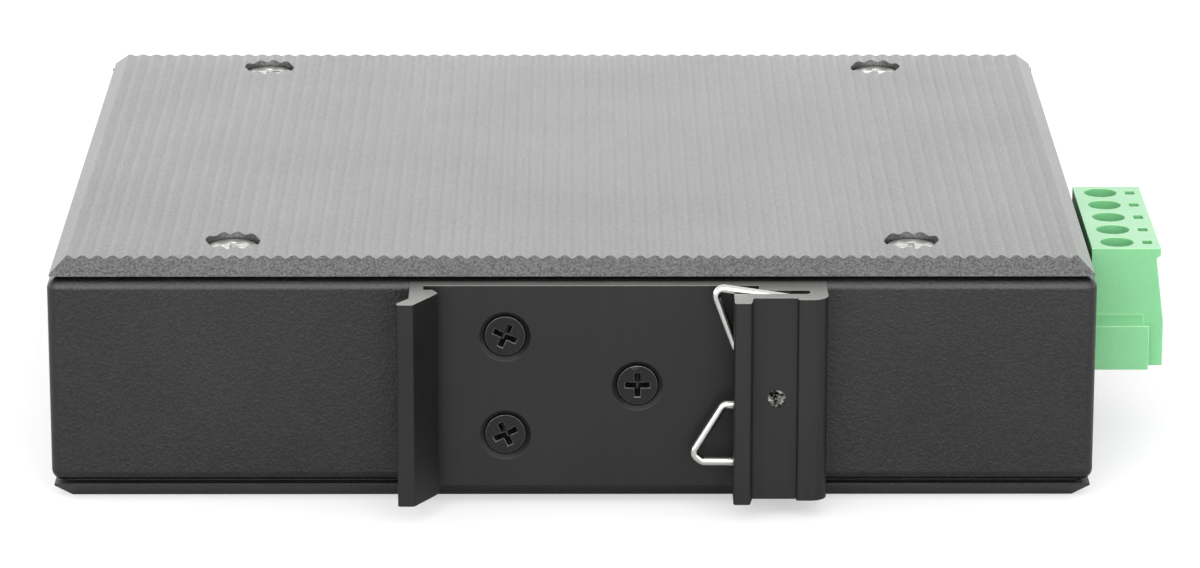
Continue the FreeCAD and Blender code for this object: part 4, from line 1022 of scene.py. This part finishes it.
# ----------------------------------------------------------------------------------- studio
@dataclass
class Studio:
    """Pale floor, soft lights and camera.

    Attributes:
        eye: Place of the camera in millimetres.
        pitch: How far the camera looks down, in degrees.
        yaw: How far it looks to the right, in degrees.
        roll: How far it is turned about its own view, in degrees.
        lens: Focal length in millimetres.
        sensor: Width of the sensor in millimetres.
        view_range: Nearest and farthest distance that the camera sees, in metres.
        floor_width: Side of the square floor in metres.
        floor_gap: Distance of the floor below the object in millimetres.
        floor_paper: How much light the floor throws back.
        floor_glow: What is added to that for the camera only, up to white.
        horizon: Brightness of the surroundings low down.
        zenith: Their brightness overhead.
        sky: Heights, from -1 to 1, between which the one goes over to the other.
        front: Brightness of the wide lamp behind the camera.
        front_place: Its place in metres.
        front_size: Its width and height in metres.
        aim: Where it points, in metres.
    """

    eye: tuple[float, float, float] = (-1.2, -577.16, 183.35)
    pitch: float = 16.573
    yaw: float = 0.279
    roll: float = 0.058
    lens: float = 166.82
    sensor: float = 36.0
    view_range: tuple[float, float] = (0.01, 50.0)
    floor_width: float = 6.0
    floor_gap: float = 0.02
    floor_paper: float = 0.55
    floor_glow: float = 0.45
    horizon: float = 2.9
    zenith: float = 1.0
    sky: tuple[float, float] = (-0.25, 0.75)
    front: float = 2.4
    front_place: tuple[float, float, float] = (0.0, -1.7, 0.97)
    front_size: tuple[float, float] = (2.6, 1.9)
    aim: tuple[float, float, float] = (0.0, 0.05, 0.0)

    def camera(self) -> None:
        """Camera behind and a little above the object, looking at the face that meets the rail."""
        data = bpy.data.cameras.new("camera")
        data.lens = self.lens
        data.sensor_width = self.sensor
        data.clip_start, data.clip_end = self.view_range
        camera = bpy.data.objects.new("camera", data)
        bpy.context.scene.collection.objects.link(camera)
        camera.location = Vector(self.eye) * MM
        look = (Matrix.Rotation(-math.radians(self.yaw), 4, "Z")
                @ Matrix.Rotation(math.radians(90.0 - self.pitch), 4, "X")
                @ Matrix.Rotation(math.radians(self.roll), 4, "Z"))
        camera.rotation_euler = look.to_euler()
        bpy.context.scene.camera = camera

    def floor(self) -> None:
        """Pale floor under the object, white to the camera, that keeps the shadow."""
        low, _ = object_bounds()
        deselect_all()
        bpy.ops.mesh.primitive_plane_add(size=self.floor_width,
                                         location=(0, 0, low[2] - self.floor_gap * MM))
        floor = bpy.context.object
        floor.name = "floor"
        material = bpy.data.materials.new("pale_floor")
        material.use_nodes = True
        tree = material.node_tree
        tree.nodes.clear()
        paper = add_node(tree, "ShaderNodeBsdfDiffuse", {"Color": (*[self.floor_paper] * 3, 1)})
        glow = add_node(tree, "ShaderNodeEmission", {"Color": (1, 1, 1, 1), "Strength": self.floor_glow})
        seen = add_node(tree, "ShaderNodeLightPath").outputs["Is Camera Ray"]
        none = add_node(tree, "ShaderNodeEmission", {"Color": (0, 0, 0, 1), "Strength": 0.0})
        lift = add_node(tree, "ShaderNodeMixShader", {0: seen, 1: none.outputs[0], 2: glow.outputs[0]})
        both = add_node(tree, "ShaderNodeAddShader", {0: paper.outputs[0], 1: lift.outputs[0]})
        add_node(tree, "ShaderNodeOutputMaterial", {"Surface": both.outputs[0]})
        floor.data.materials.append(material)
        floor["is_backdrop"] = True

    def world(self) -> None:
        """Soft surroundings: white to the camera, brightest at the horizon, dimmer overhead."""
        world = bpy.data.worlds.new("studio")
        bpy.context.scene.world = world
        world.use_nodes = True
        tree = world.node_tree
        tree.nodes.clear()
        way = add_node(tree, "ShaderNodeTexCoord").outputs["Generated"]
        height = add_node(tree, "ShaderNodeSeparateXYZ", {0: way}).outputs["Z"]
        ramp = add_node(tree, "ShaderNodeMapRange",
                        {"Value": height, "From Min": self.sky[0], "From Max": self.sky[1],
                         "To Min": self.horizon, "To Max": self.zenith},
                        interpolation_type="SMOOTHSTEP")
        around = add_node(tree, "ShaderNodeBackground",
                          {"Color": (1, 1, 1, 1), "Strength": ramp.outputs[0]})
        white = add_node(tree, "ShaderNodeBackground", {"Color": (1, 1, 1, 1), "Strength": 1.0})
        seen = add_node(tree, "ShaderNodeLightPath").outputs["Is Camera Ray"]
        both = add_node(tree, "ShaderNodeMixShader",
                        {0: seen, 1: around.outputs[0], 2: white.outputs[0]})
        add_node(tree, "ShaderNodeOutputWorld", {"Surface": both.outputs[0]})

    def front_lamp(self) -> None:
        """Wide soft lamp behind the camera that faces the object."""
        wide, high = self.front_size
        data = bpy.data.lights.new("front_softbox", "AREA")
        data.shape = "RECTANGLE"
        data.size, data.size_y = wide, high
        data.energy = self.front * math.pi * wide * high
        lamp = bpy.data.objects.new("front_softbox", data)
        bpy.context.scene.collection.objects.link(lamp)
        lamp.location = self.front_place
        way = Vector(self.aim) - Vector(self.front_place)
        lamp.rotation_euler = way.to_track_quat("-Z", "Y").to_euler()

    def build(self) -> None:
        """Set up camera, floor, surroundings and lamp."""
        self.camera()
        self.floor()
        self.world()
        self.front_lamp()
        bpy.context.scene.view_settings.view_transform = "Standard"


def main() -> None:
    """Build the looks of the whole object, one sub-assembly after the other."""
    logging.basicConfig(level=logging.INFO)
    for group in (Covers(), SteelCase(), RailClip(), SpringWire(), PowerTerminal(), ClipScrews(),
                  InnerPieces(), Studio()):
        LOG.info("building %s", type(group).__name__)
        group.build()


if __name__ == "__main__":
    main()
